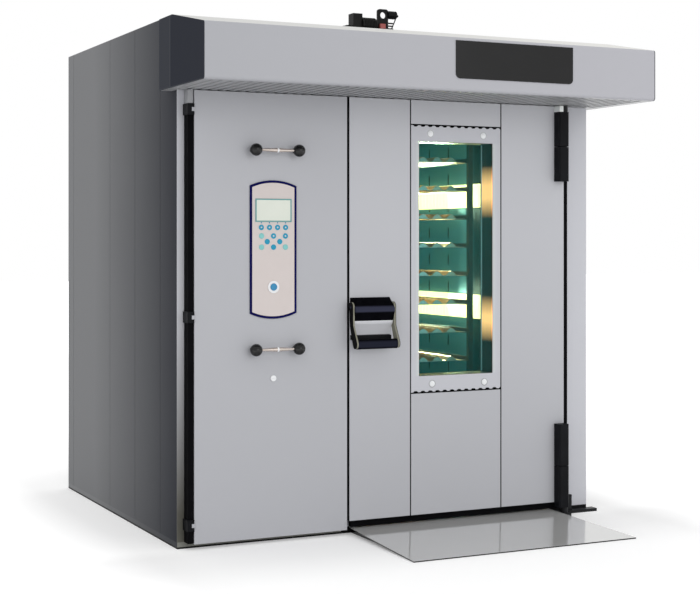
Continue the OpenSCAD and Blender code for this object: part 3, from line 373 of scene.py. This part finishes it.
RAMP_EDGE_THICK = 0.006
RAMP_EDGE_MARGIN, RAMP_EDGE_SHARPNESS = 0.0006, 5000.0
ramp_low, ramp_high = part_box("ramp")
ramp_slope = (ramp_high.z - RAMP_EDGE_THICK) / (ramp_high.y - ramp_low.y)


def ramp_edge_zone(s):
    """Everything below the ramp's sloping top."""
    top = (s.place("Y") - ramp_low.y) * ramp_slope + RAMP_EDGE_THICK
    return ((top - s.place("Z") - RAMP_EDGE_MARGIN) * RAMP_EDGE_SHARPNESS).clamped()


POST_EDGE = -1.055
POST_DULL, POST_PALE = 0.15, 1.05


def post_zone(s):
    """The left post is pale in its upper half and dull towards the floor; the other posts are pale."""
    return s.step("X", POST_EDGE, 0.001) + s.ramp("Z", POST_DULL, POST_PALE)


CHEEK_SEAM, CHEEK_SEAM_WIDE = -0.620, 0.008
CHEEK_LINE_HIGH = 0.004
BEHIND_SEAM_FROM, BEHIND_SEAM_PAINTED_LIGHT = -0.625, 0.45
cheek_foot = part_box("hood_ends")[0].z


def cheek_zone(s):
    """Light lines at the cheek's upright seam and lower edge; the sheet is paler behind the seam, painted
    light that carries on the side panels' painted reflection.
    """
    seam = s.band("Y", CHEEK_SEAM - CHEEK_SEAM_WIDE, CHEEK_SEAM)
    lower_edge = s.band("Z", cheek_foot, cheek_foot + CHEEK_LINE_HIGH)
    return seam + lower_edge + s.ramp("Y", BEHIND_SEAM_FROM, CHEEK_SEAM) * BEHIND_SEAM_PAINTED_LIGHT


# Painted shade along the scoop's lowest edge, black like the strip under the scoop.
SCOOP_SHADE_FROM, SCOOP_SHADE_TO = 0.006, 0.008
# Painted highlights: a sheen across the nose of the handle's housing and along its grip.
HOUSING_SHEEN = (1.047, 1.073, 0.004)
GRIP_SHEEN = (0.882, 0.912, 0.006)
scoop_low, scoop_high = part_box("handle_scoop")

# Painted shade: the door skins turn darker towards the bottom.
sheet_metal(
    "door_sheet", tone(180, 181, 186), tone(194, 195, 200), along("Z", 0.3, 1.8),
    roughness=0.46, metallic=0.0, specular=0.2,
)
sheet_metal(
    "trim_sheet", tone(194, 195, 201), tone(200, 204, 206), trim_zone,
    roughness=0.40, metallic=0.0, specular=0.2,
)
sheet_metal(
    "arm_steel", tone(136, 135, 122), BLACK, arm_zone,
    roughness=0.45, metallic=0.2, specular=0.02,
)
sheet_metal(
    "scoop_sheet", BLACK, tone(212, 213, 218),
    along("Z", scoop_low.z + SCOOP_SHADE_FROM, scoop_low.z + SCOOP_SHADE_TO),
    roughness=0.40, metallic=0.0, specular=0.2,
)
sheet_metal(
    "ramp_sheet", tone(214, 214, 213), BLACK, ramp_edge_zone,
    roughness=0.09, metallic=0.40, specular=0.5,
)
sheet_metal(
    "post_sheet", tone(92, 91, 84), tone(200, 201, 207), post_zone,
    roughness=0.46, metallic=0.0, specular=0.2,
)
sheet_metal(
    "fascia_sheet", tone(172, 173, 178), tone(181, 181, 187), along("X", -1.1, 1.1),
    roughness=0.46, metallic=0.0, specular=0.2,
)
sheet_metal(
    "cheek_sheet", tone(55, 57, 64), tone(77, 79, 84), cheek_zone,
    roughness=0.55, metallic=0.0, specular=0.0,
)
sheet_metal(
    "underside_sheet", tone(158, 159, 162), tone(168, 169, 171), along("X", -1.1, 1.1),
    roughness=0.40, metallic=0.2, specular=0.2,
)
# Painted shade and light: the chamber walls are dark near the doorway and pale blue further in.
sheet_metal(
    "wall_steel", tone(36, 46, 46), tone(108, 160, 178), along("Y", 0.33, 0.40),
    roughness=0.32, metallic=0.4,
)
moulded("housing_black", BLACK, tone(54, 56, 72), roughness=0.45, specular=0.01, zone=sheen(*HOUSING_SHEEN))
moulded("grip_black", BLACK, tone(34, 36, 48), roughness=0.45, specular=0.01, zone=sheen(*GRIP_SHEEN))

SILL_LOW, DOORWAY_LEFT = 0.008, -0.290
BASE_SKIN, BASE_SIDE_FADE = 0.0005, 0.0003
base_low, base_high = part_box("base_frame")


def base_rails():
    """Black along the floor and behind the doors. The outer sides match the side panels with their painted
    shade and reflection, and a paler sill runs under the service door."""
    s = finish("base_rails")
    side = base_high.x - BASE_SKIN
    scuffs = s.noise(scale=40.0, detail=4.0)
    above = s.step("Z", SILL_LOW, 0.001)
    right_side = s.ramp("X", side, side + BASE_SIDE_FADE)
    left_side = 1.0 - s.ramp("X", -side - BASE_SIDE_FADE, -side)
    front = 1.0 - s.ramp("Y", base_low.y + BASE_SKIN, base_low.y + 2.0 * BASE_SKIN)
    sill = s.band("X", -side, DOORWAY_LEFT, 0.0002) * front
    side_painted_tone = s.mix(side_painted_shading(s), SIDE_PAINTED_SHADE, SIDE_PAINTED_REFLECTION)
    behind = s.mix(scuffs, tone(8, 8, 9), tone(24, 24, 26))
    rails = s.mix(above * (right_side + left_side), behind, side_painted_tone)
    s.surface({
        "Base Color": s.mix(above * sill, rails, tone(134, 134, 128)),
        "Roughness": 0.55 + scuffs.swing(0.1),
        "Specular IOR Level": 0.1,
    })


LINER_THICK = 0.004
SLEEVE_LEFT, SLEEVE_RIGHT = 0.090, 0.520
SLEEVE_PAINTED_GLOW = 1.8
PAINTED_GLOW_HEIGHTS = ((1.54, 1.70), (0.93, 1.06))
PAINTED_GLOW_SOFT = 0.05
liner_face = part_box("door_liner")[1].y - LINER_THICK


def liner_steel():
    """The door's liner is plain steel. Only its sleeve, the wall of the window's opening, differs: it is
    painted dark as shade, and at the lamps' heights it carries a painted reflection of the lamps that
    glows."""
    s = finish("liner_with_painted_glow")
    brushed = s.noise(scale=40.0, detail=3.0, stretch=UPRIGHT)
    before_face = 1.0 - s.ramp("Y", liner_face - 0.001, liner_face)
    in_sleeve = s.band("X", SLEEVE_LEFT, SLEEVE_RIGHT) * before_face
    upper, lower = (s.band("Z", low, high, PAINTED_GLOW_SOFT) for low, high in PAINTED_GLOW_HEIGHTS)
    painted_glow = ((upper + lower) * in_sleeve + brushed.swing(0.1) * in_sleeve).clamped()
    plain_steel = s.mix(brushed, tone(146, 146, 140), tone(164, 163, 156))
    steel_and_painted_shade = s.mix(in_sleeve, plain_steel, tone(74, 76, 68))
    s.surface({
        "Base Color": s.mix(painted_glow, steel_and_painted_shade, tone(224, 186, 120)),
        "Roughness": 0.30 + brushed.swing(0.06),
        "Metallic": 0.3,
        "Emission Color": s.mix(painted_glow, BLACK, tone(246, 172, 106)),
        "Emission Strength": SLEEVE_PAINTED_GLOW,
    })


base_rails()
liner_steel()

OWN_FINISH = {
    "base_frame": "base_rails",
    "chamber_walls": "wall_steel",
    "door_liner": "liner_with_painted_glow",
    "door_skins": "door_sheet",
    "front_frame": "post_sheet",
    "handle_arms": "arm_steel",
    "handle_grip": "grip_black",
    "handle_housing": "housing_black",
    "handle_scoop": "scoop_sheet",
    "hood_ends": "cheek_sheet",
    "hood_fascia": "fascia_sheet",
    "hood_underside": "underside_sheet",
    "ramp": "ramp_sheet",
    "window_trim": "trim_sheet",
}

for subpart in frame["record"]["subparts"]:
    node = subpart["node"]
    materials = nodes[node].data.materials
    materials.clear()
    materials.append(finishes[OWN_FINISH.get(node, subpart["material_slot"])])

# ---------------------------------------------------------------- finishes of the fittings alone

sheet_metal(
    "tray_end", tone(104, 146, 148), tone(150, 158, 136), along("X", 0.1, 0.6),
    roughness=0.45, metallic=0.1, specular=0.2,
)
sheet_metal(
    "bead_steel", tone(214, 222, 220), tone(236, 240, 238), along("Z", 0.7, 1.9),
    roughness=0.30, metallic=0.3, specular=0.4,
)
moulded("key_pale", tone(126, 196, 194), tone(150, 208, 204), roughness=0.36)
speckled("display_rim", tone(88, 146, 146), tone(104, 160, 158), scale=300.0, detail=2.0, roughness=0.34)
speckled("terminal_red", tone(150, 62, 58), tone(186, 96, 88), scale=120.0, detail=3.0, roughness=0.4)

# ---------------------------------------------------------------- tools for the fittings

MERGE_DISTANCE = 1e-6
DISC_SIDES, RING_SIDES = 32, 40


def piece(name, bm, slot, body):
    """Turns a finished bmesh into a piece that takes a slot's finish and rides on a body."""
    bmesh.ops.remove_doubles(bm, verts=bm.verts, dist=MERGE_DISTANCE)
    bmesh.ops.recalc_face_normals(bm, faces=bm.faces)
    mesh = bpy.data.meshes.new(name)
    bm.to_mesh(mesh)
    bm.free()
    mesh.materials.append(finishes[slot])
    made = bpy.data.objects.new(name, mesh)
    scene.collection.objects.link(made)
    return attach(made, body)


def dressed(name, bm, own_finish, body):
    """A piece whose surface has a finish of its own."""
    made = piece(name, bm, own_finish, body)


def round_edges(bm, edges, radius, segments=2):
    bmesh.ops.bevel(
        bm, geom=edges, offset=radius, segments=segments, profile=0.5, affect="EDGES", material=-1
    )


def thicken(bm, faces, depth):
    """Gives flat faces a wall towards the back."""
    grown = bmesh.ops.extrude_face_region(bm, geom=faces, use_keep_orig=True)
    moved = [v for v in grown["geom"] if isinstance(v, bmesh.types.BMVert)]
    bmesh.ops.translate(bm, verts=moved, vec=(0.0, depth, 0.0))


def add_box(bm, low, high, round_by=0.0):
    """Adds a box between two corners, its edges rounded."""
    size = Vector(high) - Vector(low)
    middle = (Vector(high) + Vector(low)) / 2
    place = Matrix.Translation(middle) @ Matrix.Diagonal((*size, 1.0))
    made = bmesh.ops.create_cube(bm, size=1.0, matrix=place)
    if round_by:
        round_edges(bm, list({e for v in made["verts"] for e in v.link_edges}), round_by)


def add_disc(bm, x, z, back_y, front_y, radius, top_radius=None, sides=DISC_SIDES):
    """Adds a round boss that stands on a plane facing the front."""
    turn = Matrix.Rotation(math.radians(90), 4, "X")
    place = Matrix.Translation((x, (back_y + front_y) / 2, z))
    bmesh.ops.create_cone(
        bm, cap_ends=True, segments=sides, radius1=radius, radius2=top_radius or radius,
        depth=abs(back_y - front_y), matrix=place @ turn,
    )


def add_ring(bm, x, z, back_y, front_y, outer, inner):
    """Adds a flat ring that faces the front."""
    profile = [(inner, back_y), (outer, back_y), (outer, front_y), (inner, front_y)]
    points = [bm.verts.new((x + r, y, z)) for r, y in profile]
    edges = [bm.edges.new((points[i], points[(i + 1) % 4])) for i in range(4)]
    bmesh.ops.spin(
        bm, geom=points + edges, cent=(x, 0.0, z), axis=(0.0, 1.0, 0.0),
        angle=math.tau, steps=RING_SIDES, use_merge=True,
    )


# ---------------------------------------------------------------- fittings on the hood

PLATE_LEFT, PLATE_RIGHT = 0.0475, 0.6805
PLATE_LOW, PLATE_HIGH = 2.114, 2.286
PLATE_THICK, PLATE_CORNER = 0.003, 0.022


def bare_plate():
    """Plain black plate on the hood's face, rounded at its two lower corners."""
    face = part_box("hood_fascia")[0].y
    bm = bmesh.new()
    add_box(bm, (PLATE_LEFT, face - PLATE_THICK, PLATE_LOW), (PLATE_RIGHT, face, PLATE_HIGH))
    across = [e for e in bm.edges if abs(e.verts[0].co.y - e.verts[1].co.y) > PLATE_THICK / 2]
    lower = [e for e in across if e.verts[0].co.z < (PLATE_LOW + PLATE_HIGH) / 2]
    round_edges(bm, lower, PLATE_CORNER, segments=8)
    piece("bare_plate", bm, "knob_black", "body")


bare_plate()

# ---------------------------------------------------------------- fittings on the chamber door

skins_low, skins_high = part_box("door_skins")
door_y = skins_low.y

SCREW_PLACES = ((0.1615, 1.895), (0.4565, 1.893), (0.1705, 0.691), (0.4625, 0.688))
SCREW_RADIUS, DOME_HEIGHT = 0.015, 0.006
SCREW_RIM_THICK, SCREW_RIM_WIDE, SCREW_RIM_LAP = 0.001, 0.003, 0.001


def trim_screw_caps():
    """White domes over the screws in the window's trim."""
    bm = bmesh.new()
    flatten = Matrix.Diagonal((1.0, DOME_HEIGHT / SCREW_RADIUS, 1.0, 1.0))
    for x, z in SCREW_PLACES:
        dome = Matrix.Translation((x, door_y, z)) @ flatten
        bmesh.ops.create_uvsphere(bm, u_segments=24, v_segments=12, radius=SCREW_RADIUS, matrix=dome)
    piece("trim_screw_caps", bm, "lock_white", "chamber_door")


def trim_screw_rims():
    """Thin steel washers round the screw caps; their grey also stands in for the shade beside each cap."""
    bm = bmesh.new()
    for x, z in SCREW_PLACES:
        outer, inner = SCREW_RADIUS + SCREW_RIM_WIDE, SCREW_RADIUS - SCREW_RIM_LAP
        add_ring(bm, x, z, door_y, door_y - SCREW_RIM_THICK, outer, inner)
    piece("trim_screw_rims", bm, "galvanised", "chamber_door")


VENT_PITCH, VENT_START = 0.040, 0.024
VENT_FULLNESS, VENT_STEPS = 0.55, 10
VENT_GAP = 0.004
SHADOW_THIN, SHADOW_SWELL = 0.002, 0.0065
SHADOW_PROUD, SHADOW_SUNK = 0.0006, 0.001


def vent_shadows():
    """Black strips of painted shadow in the scalloped vents along the trim's upper and lower edges."""
    trim_low, trim_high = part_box("window_trim")
    width = trim_high.x - trim_low.x
    steps = round(width / VENT_PITCH * VENT_STEPS)
    front = door_y - SHADOW_PROUD
    bm = bmesh.new()
    for edge_z, outward in ((trim_high.z, 1.0), (trim_low.z, -1.0)):
        far, near = [], []
        for i in range(steps + 1):
            x = trim_low.x + width * i / steps
            swell = VENT_FULLNESS + math.cos(math.tau * (x - trim_low.x - VENT_START) / VENT_PITCH)
            depth = SHADOW_THIN + SHADOW_SWELL * min(1.0, max(0.0, swell))
            far.append(bm.verts.new((x, front, edge_z + outward * VENT_GAP)))
            near.append(bm.verts.new((x, front, edge_z - outward * depth)))
        strip = [bm.faces.new((far[i], far[i + 1], near[i + 1], near[i])) for i in range(steps)]
        thicken(bm, strip, SHADOW_PROUD + SHADOW_SUNK)
    piece("vent_shadows", bm, "rubber", "chamber_door")


BEAD_LEFT, BEAD_RIGHT = 0.5065, 0.5095
BEAD_FRONT, BEAD_BACK = -0.512, -0.506
BEAD_END, BEAD_ROUND = 0.003, 0.0006


def inner_pane_bead():
    """Bright bead that holds the inner pane on its hinge side."""
    low = (BEAD_LEFT, BEAD_FRONT, window_low + BEAD_END)
    high = (BEAD_RIGHT, BEAD_BACK, window_high - BEAD_END)
    bm = bmesh.new()
    add_box(bm, low, high, BEAD_ROUND)
    dressed("inner_pane_bead", bm, "bead_steel", "chamber_door")


SHADE_STRIP_PROUD, SHADE_STRIP_DROP, SHADE_STRIP_LAP, SHADE_STRIP_ROUND = 0.030, 0.016, 0.005, 0.003


def scoop_shade_strip():
    """Black strip under the handle's scoop, painted shade between the scoop and the grip."""
    low = (scoop_low.x, door_y - SHADE_STRIP_PROUD, scoop_low.z - SHADE_STRIP_DROP)
    high = (scoop_high.x, door_y, scoop_low.z + SHADE_STRIP_LAP)
    bm = bmesh.new()
    add_box(bm, low, high, SHADE_STRIP_ROUND)
    piece("scoop_shade_strip", bm, "black_trim", "chamber_door")


STRAP_WIDE, STRAP_ROUND = 0.023, 0.002


def door_strap():
    """Steel strap between the upper hinge cover and the door's top edge."""
    cover_low, cover_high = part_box("hinge_covers")
    low = (cover_low.x, cover_low.y, cover_high.z)
    high = (cover_low.x + STRAP_WIDE, cover_high.y, skins_high.z)
    bm = bmesh.new()
    add_box(bm, low, high, STRAP_ROUND)
    dressed("door_strap", bm, "bead_steel", "chamber_door")


trim_screw_caps()
trim_screw_rims()
vent_shadows()
inner_pane_bead()
scoop_shade_strip()
door_strap()

# ---------------------------------------------------------------- inside the chamber

lamp_low, lamp_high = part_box("oven_lamps")

DIFFUSER_HEIGHTS = ((0.943, 1.051), (1.563, 1.694))
DIFFUSER_PROUD, DIFFUSER_LAP, DIFFUSER_ROUND = 0.006, 0.010, 0.004
DIFFUSER_WALL_GAP = 0.0005
RIBS = 20
RIB_HALF, RIB_PROUD, RIB_END, RIB_ROUND = 0.004, 0.002, 0.006, 0.001


def lamp_diffusers():
    """Ribbed diffusers that stand over the two lamps on the chamber's right wall."""
    face = lamp_low.x - DIFFUSER_PROUD + RIB_PROUD
    wall = lamp_high.x - DIFFUSER_WALL_GAP
    front, back = lamp_low.y - DIFFUSER_LAP, lamp_high.y + DIFFUSER_LAP
    bm = bmesh.new()
    for foot, top in DIFFUSER_HEIGHTS:
        add_box(bm, (face, front, foot), (wall, back, top), DIFFUSER_ROUND)
        for i in range(RIBS):
            y = front + (back - front) * (i + 0.5) / RIBS
            rib_low = (face - RIB_PROUD, y - RIB_HALF, foot + RIB_END)
            add_box(bm, rib_low, (face + RIB_PROUD, y + RIB_HALF, top - RIB_END), RIB_ROUND)
    piece("lamp_diffusers", bm, "lamp", "body")


TRAYS = 12
GROOVES, GROOVE_STEPS, GROOVE_DEPTH = 7, 8, 0.024
TRAY_GAUGE = 0.0015
WAVE_HALF = 0.294
END_BACK, END_THICK = 0.0002, 0.001
RIM_BELOW, RIM_ABOVE, RIM_DEEP, RIM_ROUND = 0.0005, 0.0025, 0.003, 0.0005
tray_low, tray_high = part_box("wave_trays")
tray_mid = (tray_low.x + tray_high.x) / 2


def tray_fronts_and_rims():
    """Closed front ends of the wave trays, and the bright rim under each."""
    rise = (tray_high.z - tray_low.z - GROOVE_DEPTH - TRAY_GAUGE) / (TRAYS - 1)
    steps = [i / (GROOVES * GROOVE_STEPS) for i in range(GROOVES * GROOVE_STEPS + 1)]
    wave = [(2.0 * t - 1.0, (1.0 - math.cos(math.tau * GROOVES * t)) / 2) for t in steps]
    front = tray_low.y + END_BACK
    ends, rims = bmesh.new(), bmesh.new()
    for tray in range(TRAYS):
        foot = tray_low.z + tray * rise
        crest = [(tray_mid + WAVE_HALF * u, foot + GROOVE_DEPTH * h + TRAY_GAUGE / 2) for u, h in wave]
        outline = crest + [(x, foot) for x, z in reversed(crest)]
        thicken(ends, [ends.faces.new([ends.verts.new((x, front, z)) for x, z in outline])], END_THICK)
        rim_high = (tray_high.x, tray_low.y + RIM_DEEP, foot + RIM_ABOVE)
        add_box(rims, (tray_low.x, front, foot - RIM_BELOW), rim_high, RIM_ROUND)
    bmesh.ops.triangulate(ends, faces=ends.faces)
    dressed("tray_fronts", ends, "tray_end", "rotor")
    dressed("tray_rims", rims, "bead_steel", "rotor")


lamp_diffusers()
tray_fronts_and_rims()

# ---------------------------------------------------------------- fittings on the service door

surround_low, surround_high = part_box("control_surround")
panel_x, panel_z = (surround_low.x + surround_high.x) / 2, surround_low.z
keys_front, keys_back = (corner.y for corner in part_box("keypad_keys"))

# Places of the keys from the panel's middle and from its lower end.
KEY_COLUMNS = (-0.060, -0.020, 0.020, 0.060)
KEY_SIDE = 0.059
TOP_ROW, SECOND_ROW, LAST_ROW = 0.417, 0.378, 0.327
ICON_KEYS = [(x, TOP_ROW) for x in KEY_COLUMNS] + [(0.0, SECOND_ROW), (KEY_SIDE, SECOND_ROW)]
PALE_KEYS = [(-KEY_SIDE, SECOND_ROW), (-KEY_SIDE, LAST_ROW), (KEY_SIDE, LAST_ROW)]
KEY_RADIUS = 0.0125
MARK_THICK, MARK_SHARE = 0.0006, 0.30
CAP_FOOT_SHARE, CAP_TOP_SHARE = 1.02, 0.95


def key_marks():
    """Pale marks on six of the keys."""
    bm = bmesh.new()
    for x, z in ICON_KEYS:
        place = (panel_x + x, panel_z + z, keys_front, keys_front - MARK_THICK)
        add_disc(bm, *place, KEY_RADIUS * MARK_SHARE)
    piece("key_marks", bm, "panel_face", "service_door")


def pale_key_caps():
    """Paler faces on the keys that have another colour."""
    bm = bmesh.new()
    for x, z in PALE_KEYS:
        place = (panel_x + x, panel_z + z, keys_front, keys_front - MARK_THICK)
        add_disc(bm, *place, KEY_RADIUS * CAP_FOOT_SHARE, KEY_RADIUS * CAP_TOP_SHARE)
    dressed("pale_key_caps", bm, "key_pale", "service_door")


LIGHT_ROW, LIGHT_PROUD, LIGHT_SIDES = 0.438, 0.0015, 16
LIGHT_FOOT_RADIUS, LIGHT_TOP_RADIUS = 0.0032, 0.0024


def status_lights():
    """Four small lights above the keys."""
    bm = bmesh.new()
    for x in KEY_COLUMNS:
        place = (panel_x + x, panel_z + LIGHT_ROW, keys_back, keys_back - LIGHT_PROUD)
        add_disc(bm, *place, LIGHT_FOOT_RADIUS, LIGHT_TOP_RADIUS, LIGHT_SIDES)
    piece("status_lights", bm, "start_blue", "service_door")


DISPLAY_RIM_WIDE, DISPLAY_RIM_PROUD, DISPLAY_RIM_ROUND = 0.006, 0.003, 0.0006


def display_rim():
    """Raised rim round the display's lens."""
    lens_low, lens_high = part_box("display_lens")
    left, right = lens_low.x - DISPLAY_RIM_WIDE, lens_high.x + DISPLAY_RIM_WIDE
    bars = (
        ((left, lens_high.z), (right, lens_high.z + DISPLAY_RIM_WIDE)),
        ((left, lens_low.z - DISPLAY_RIM_WIDE), (right, lens_low.z)),
        ((left, lens_low.z), (lens_low.x, lens_high.z)),
        ((lens_high.x, lens_low.z), (right, lens_high.z)),
    )
    bm = bmesh.new()
    for (x0, z0), (x1, z1) in bars:
        add_box(bm, (x0, keys_back - DISPLAY_RIM_PROUD, z0), (x1, keys_back, z1), DISPLAY_RIM_ROUND)
    dressed("display_rim", bm, "display_rim", "service_door")


START_RING_OUTER, START_RING_INNER, START_RING_THICK = 0.0280, 0.0168, 0.0012


def start_ring():
    """White ring round the start button."""
    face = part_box("control_face")[0].y
    button_low, button_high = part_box("start_button")
    z = (button_low.z + button_high.z) / 2
    bm = bmesh.new()
    add_ring(bm, panel_x, z, face, face - START_RING_THICK, START_RING_OUTER, START_RING_INNER)
    piece("start_ring", bm, "lock_white", "service_door")


COLLAR_PROUD, COLLAR_LONG, COLLAR_ROUND = 0.0012, 0.008, 0.00072


def pull_collars():
    """White collars at the middle of the two pull bars."""
    bar_low, bar_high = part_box("pull_bars")
    bar_radius = (bar_high.y - bar_low.y) / 2
    radius = bar_radius + COLLAR_PROUD
    turn = Matrix.Rotation(math.radians(90), 4, "Y")
    bm = bmesh.new()
    for z in (bar_low.z + bar_radius, bar_high.z - bar_radius):
        place = Matrix.Translation(((bar_low.x + bar_high.x) / 2, bar_low.y + bar_radius, z))
        bmesh.ops.create_cone(
            bm, cap_ends=True, segments=DISC_SIDES, radius1=radius, radius2=radius,
            depth=COLLAR_LONG, matrix=place @ turn,
        )
    end_edges = [e for e in bm.edges if any(len(f.verts) > 4 for f in e.link_faces)]
    round_edges(bm, end_edges, COLLAR_ROUND)
    piece("pull_collars", bm, "lock_white", "service_door")


key_marks()
pale_key_caps()
status_lights()
display_rim()
start_ring()
pull_collars()

# ---------------------------------------------------------------- fittings on the roof drive

TERMINAL_LEFT, TERMINAL_RIGHT = 0.3655, 0.3995
TERMINAL_LOW, TERMINAL_HIGH = 2.530, 2.558
TERMINAL_DEEP, TERMINAL_ROUND = 0.020, 0.003
EYE_PLATE_FRONT = 0.337


def terminal_block():
    """Red terminal block on the front of the drive's eye plate."""
    low = (TERMINAL_LEFT, EYE_PLATE_FRONT - TERMINAL_DEEP, TERMINAL_LOW)
    bm = bmesh.new()
    add_box(bm, low, (TERMINAL_RIGHT, EYE_PLATE_FRONT, TERMINAL_HIGH), TERMINAL_ROUND)
    dressed("terminal_block", bm, "terminal_red", "body")


terminal_block()

# ---------------------------------------------------------------- floor and surroundings

WHITE = (1.0, 1.0, 1.0, 1.0)
FLOOR_GREY = (0.86, 0.86, 0.86, 1.0)
STUDIO = 40.0
FLOOR_LIFT, FLOOR_LIFT_FAR = 0.26, 0.32
LIFT_NEAR, LIFT_FAR = 1.9, 3.6
SIDE_NEAR, SIDE_FAR, SIDE_LIFT = 1.28, 1.56, 0.20
HOOD_SHADE = 0.11
SHADE_STARTS, SHADE_ENDS = (-1.40, -0.95), (-0.70, -0.55)
AMBIENT = 0.95


def seen_directly(shader):
    """1 for rays that show a surface or the world itself: to the camera, in gloss or through glass."""
    kinds = ("Is Camera Ray", "Is Glossy Ray", "Is Transmission Ray")
    camera_ray, glossy_ray, transmission_ray = (
        shader.add("ShaderNodeLightPath", output=kind) for kind in kinds
    )
    return (camera_ray + glossy_ray + transmission_ray).clamped()


def floor_lift(s):
    """Light added to the look of the floor. It grows away from the oven, so that the floor turns
    white and the shadow beside the oven stays, and it is weaker under the hood."""
    x, y = s.place("X"), s.place("Y")
    reach = (x * x + y * y).power(0.5)
    away = ((reach - LIFT_NEAR) / (LIFT_FAR - LIFT_NEAR)).clamped()
    beside = ((x.size() - SIDE_NEAR) / (SIDE_FAR - SIDE_NEAR)).clamped()
    under_hood = s.ramp("Y", *SHADE_STARTS) - s.ramp("Y", *SHADE_ENDS)
    return away * FLOOR_LIFT_FAR + beside * SIDE_LIFT + FLOOR_LIFT - under_hood * HOOD_SHADE


def studio_floor():
    """Pale floor that keeps the oven's shadow."""
    bm = bmesh.new()
    bmesh.ops.create_grid(bm, x_segments=1, y_segments=1, size=STUDIO)
    mesh = bpy.data.meshes.new("studio_floor")
    bm.to_mesh(mesh)
    bm.free()
    floor = bpy.data.objects.new("studio_floor", mesh)
    scene.collection.objects.link(floor)

    s = finish("studio_floor")
    mesh.materials.append(finishes["studio_floor"])
    strength = seen_directly(s) * floor_lift(s)
    glow = s.add("ShaderNodeEmission", None, {"Color": WHITE, "Strength": strength})
    plain = s.add("ShaderNodeBsdfDiffuse", None, {"Color": FLOOR_GREY})
    both = s.add("ShaderNodeAddShader", None, {0: glow, 1: plain})
    s.add("ShaderNodeOutputMaterial", None, {"Surface": both})


def studio_world():
    """Even light from all round, which shows as white itself."""
    world = bpy.data.worlds.new("studio")
    scene.world = world
    world.use_nodes = True
    s = Shader(world.node_tree)
    strength = seen_directly(s) * (1.0 - AMBIENT) + AMBIENT
    sky = s.add("ShaderNodeBackground", None, {"Color": WHITE, "Strength": strength})
    s.add("ShaderNodeOutputWorld", None, {"Surface": sky})


studio_floor()
studio_world()

# ---------------------------------------------------------------- lights and camera

WARM = (1.0, 0.80, 0.48)
GLOW_OFF_LAMP, GLOW_INSET, GLOW_HIGH = 0.03, 0.04, 0.08
GLOW_TARGET_Y = 0.2
FILL_Y, FILL_TARGET_Y, FILL_Z = -0.44, 0.3, 1.3


def area_light(name, place, target, size, power, colour=(1.0, 1.0, 1.0)):
    data = bpy.data.lights.new(name, "AREA")
    data.shape = "RECTANGLE"
    data.size, data.size_y = size
    data.energy = power
    data.color = colour
    made = bpy.data.objects.new(name, data)
    made.location = place
    made.rotation_euler = (Vector(target) - Vector(place)).to_track_quat("-Z", "Y").to_euler()
    made.visible_camera = False
    scene.collection.objects.link(made)


def studio_lights():
    """One broad light before the front, a warm one at each lamp, and a weak fill behind the window."""
    area_light("key", (1.5, -11.0, 3.5), (0.0, 0.0, 1.2), size=(6.0, 4.0), power=150.0)
    glow_size = (lamp_high.y - lamp_low.y, GLOW_HIGH)
    lamp_mid = (lamp_low.y + lamp_high.y) / 2
    for i, z in enumerate((lamp_low.z + GLOW_INSET, lamp_high.z - GLOW_INSET)):
        place, target = (lamp_low.x - GLOW_OFF_LAMP, lamp_mid, z), (0.0, GLOW_TARGET_Y, z)
        area_light("chamber_glow_%d" % i, place, target, glow_size, power=40.0, colour=WARM)
    place, target = (tray_mid, FILL_Y, FILL_Z), (tray_mid, FILL_TARGET_Y, FILL_Z)
    area_light("rack_fill", place, target, size=(0.35, 1.1), power=5.0)


CAMERA_PLACE = (-3.3165, -6.876, 1.394)
CAMERA_YAW = -25.94
CAMERA_LENS, SENSOR_WIDTH, CAMERA_SHIFT = 76.48, 36.0, -0.0854
CAMERA_SIGHT = 200.0


def level_camera():
    """The photo's camera: it looks level, and its frame is shifted down."""
    data = bpy.data.cameras.new("camera")
    data.sensor_width = SENSOR_WIDTH
    data.lens = CAMERA_LENS
    data.shift_y = CAMERA_SHIFT
    data.clip_end = CAMERA_SIGHT
    camera = bpy.data.objects.new("camera", data)
    camera.location = CAMERA_PLACE
    camera.rotation_euler = (math.radians(90.0), 0.0, math.radians(CAMERA_YAW))
    scene.collection.objects.link(camera)
    scene.camera = camera


studio_lights()
level_camera()
scene.view_settings.view_transform = "Standard"
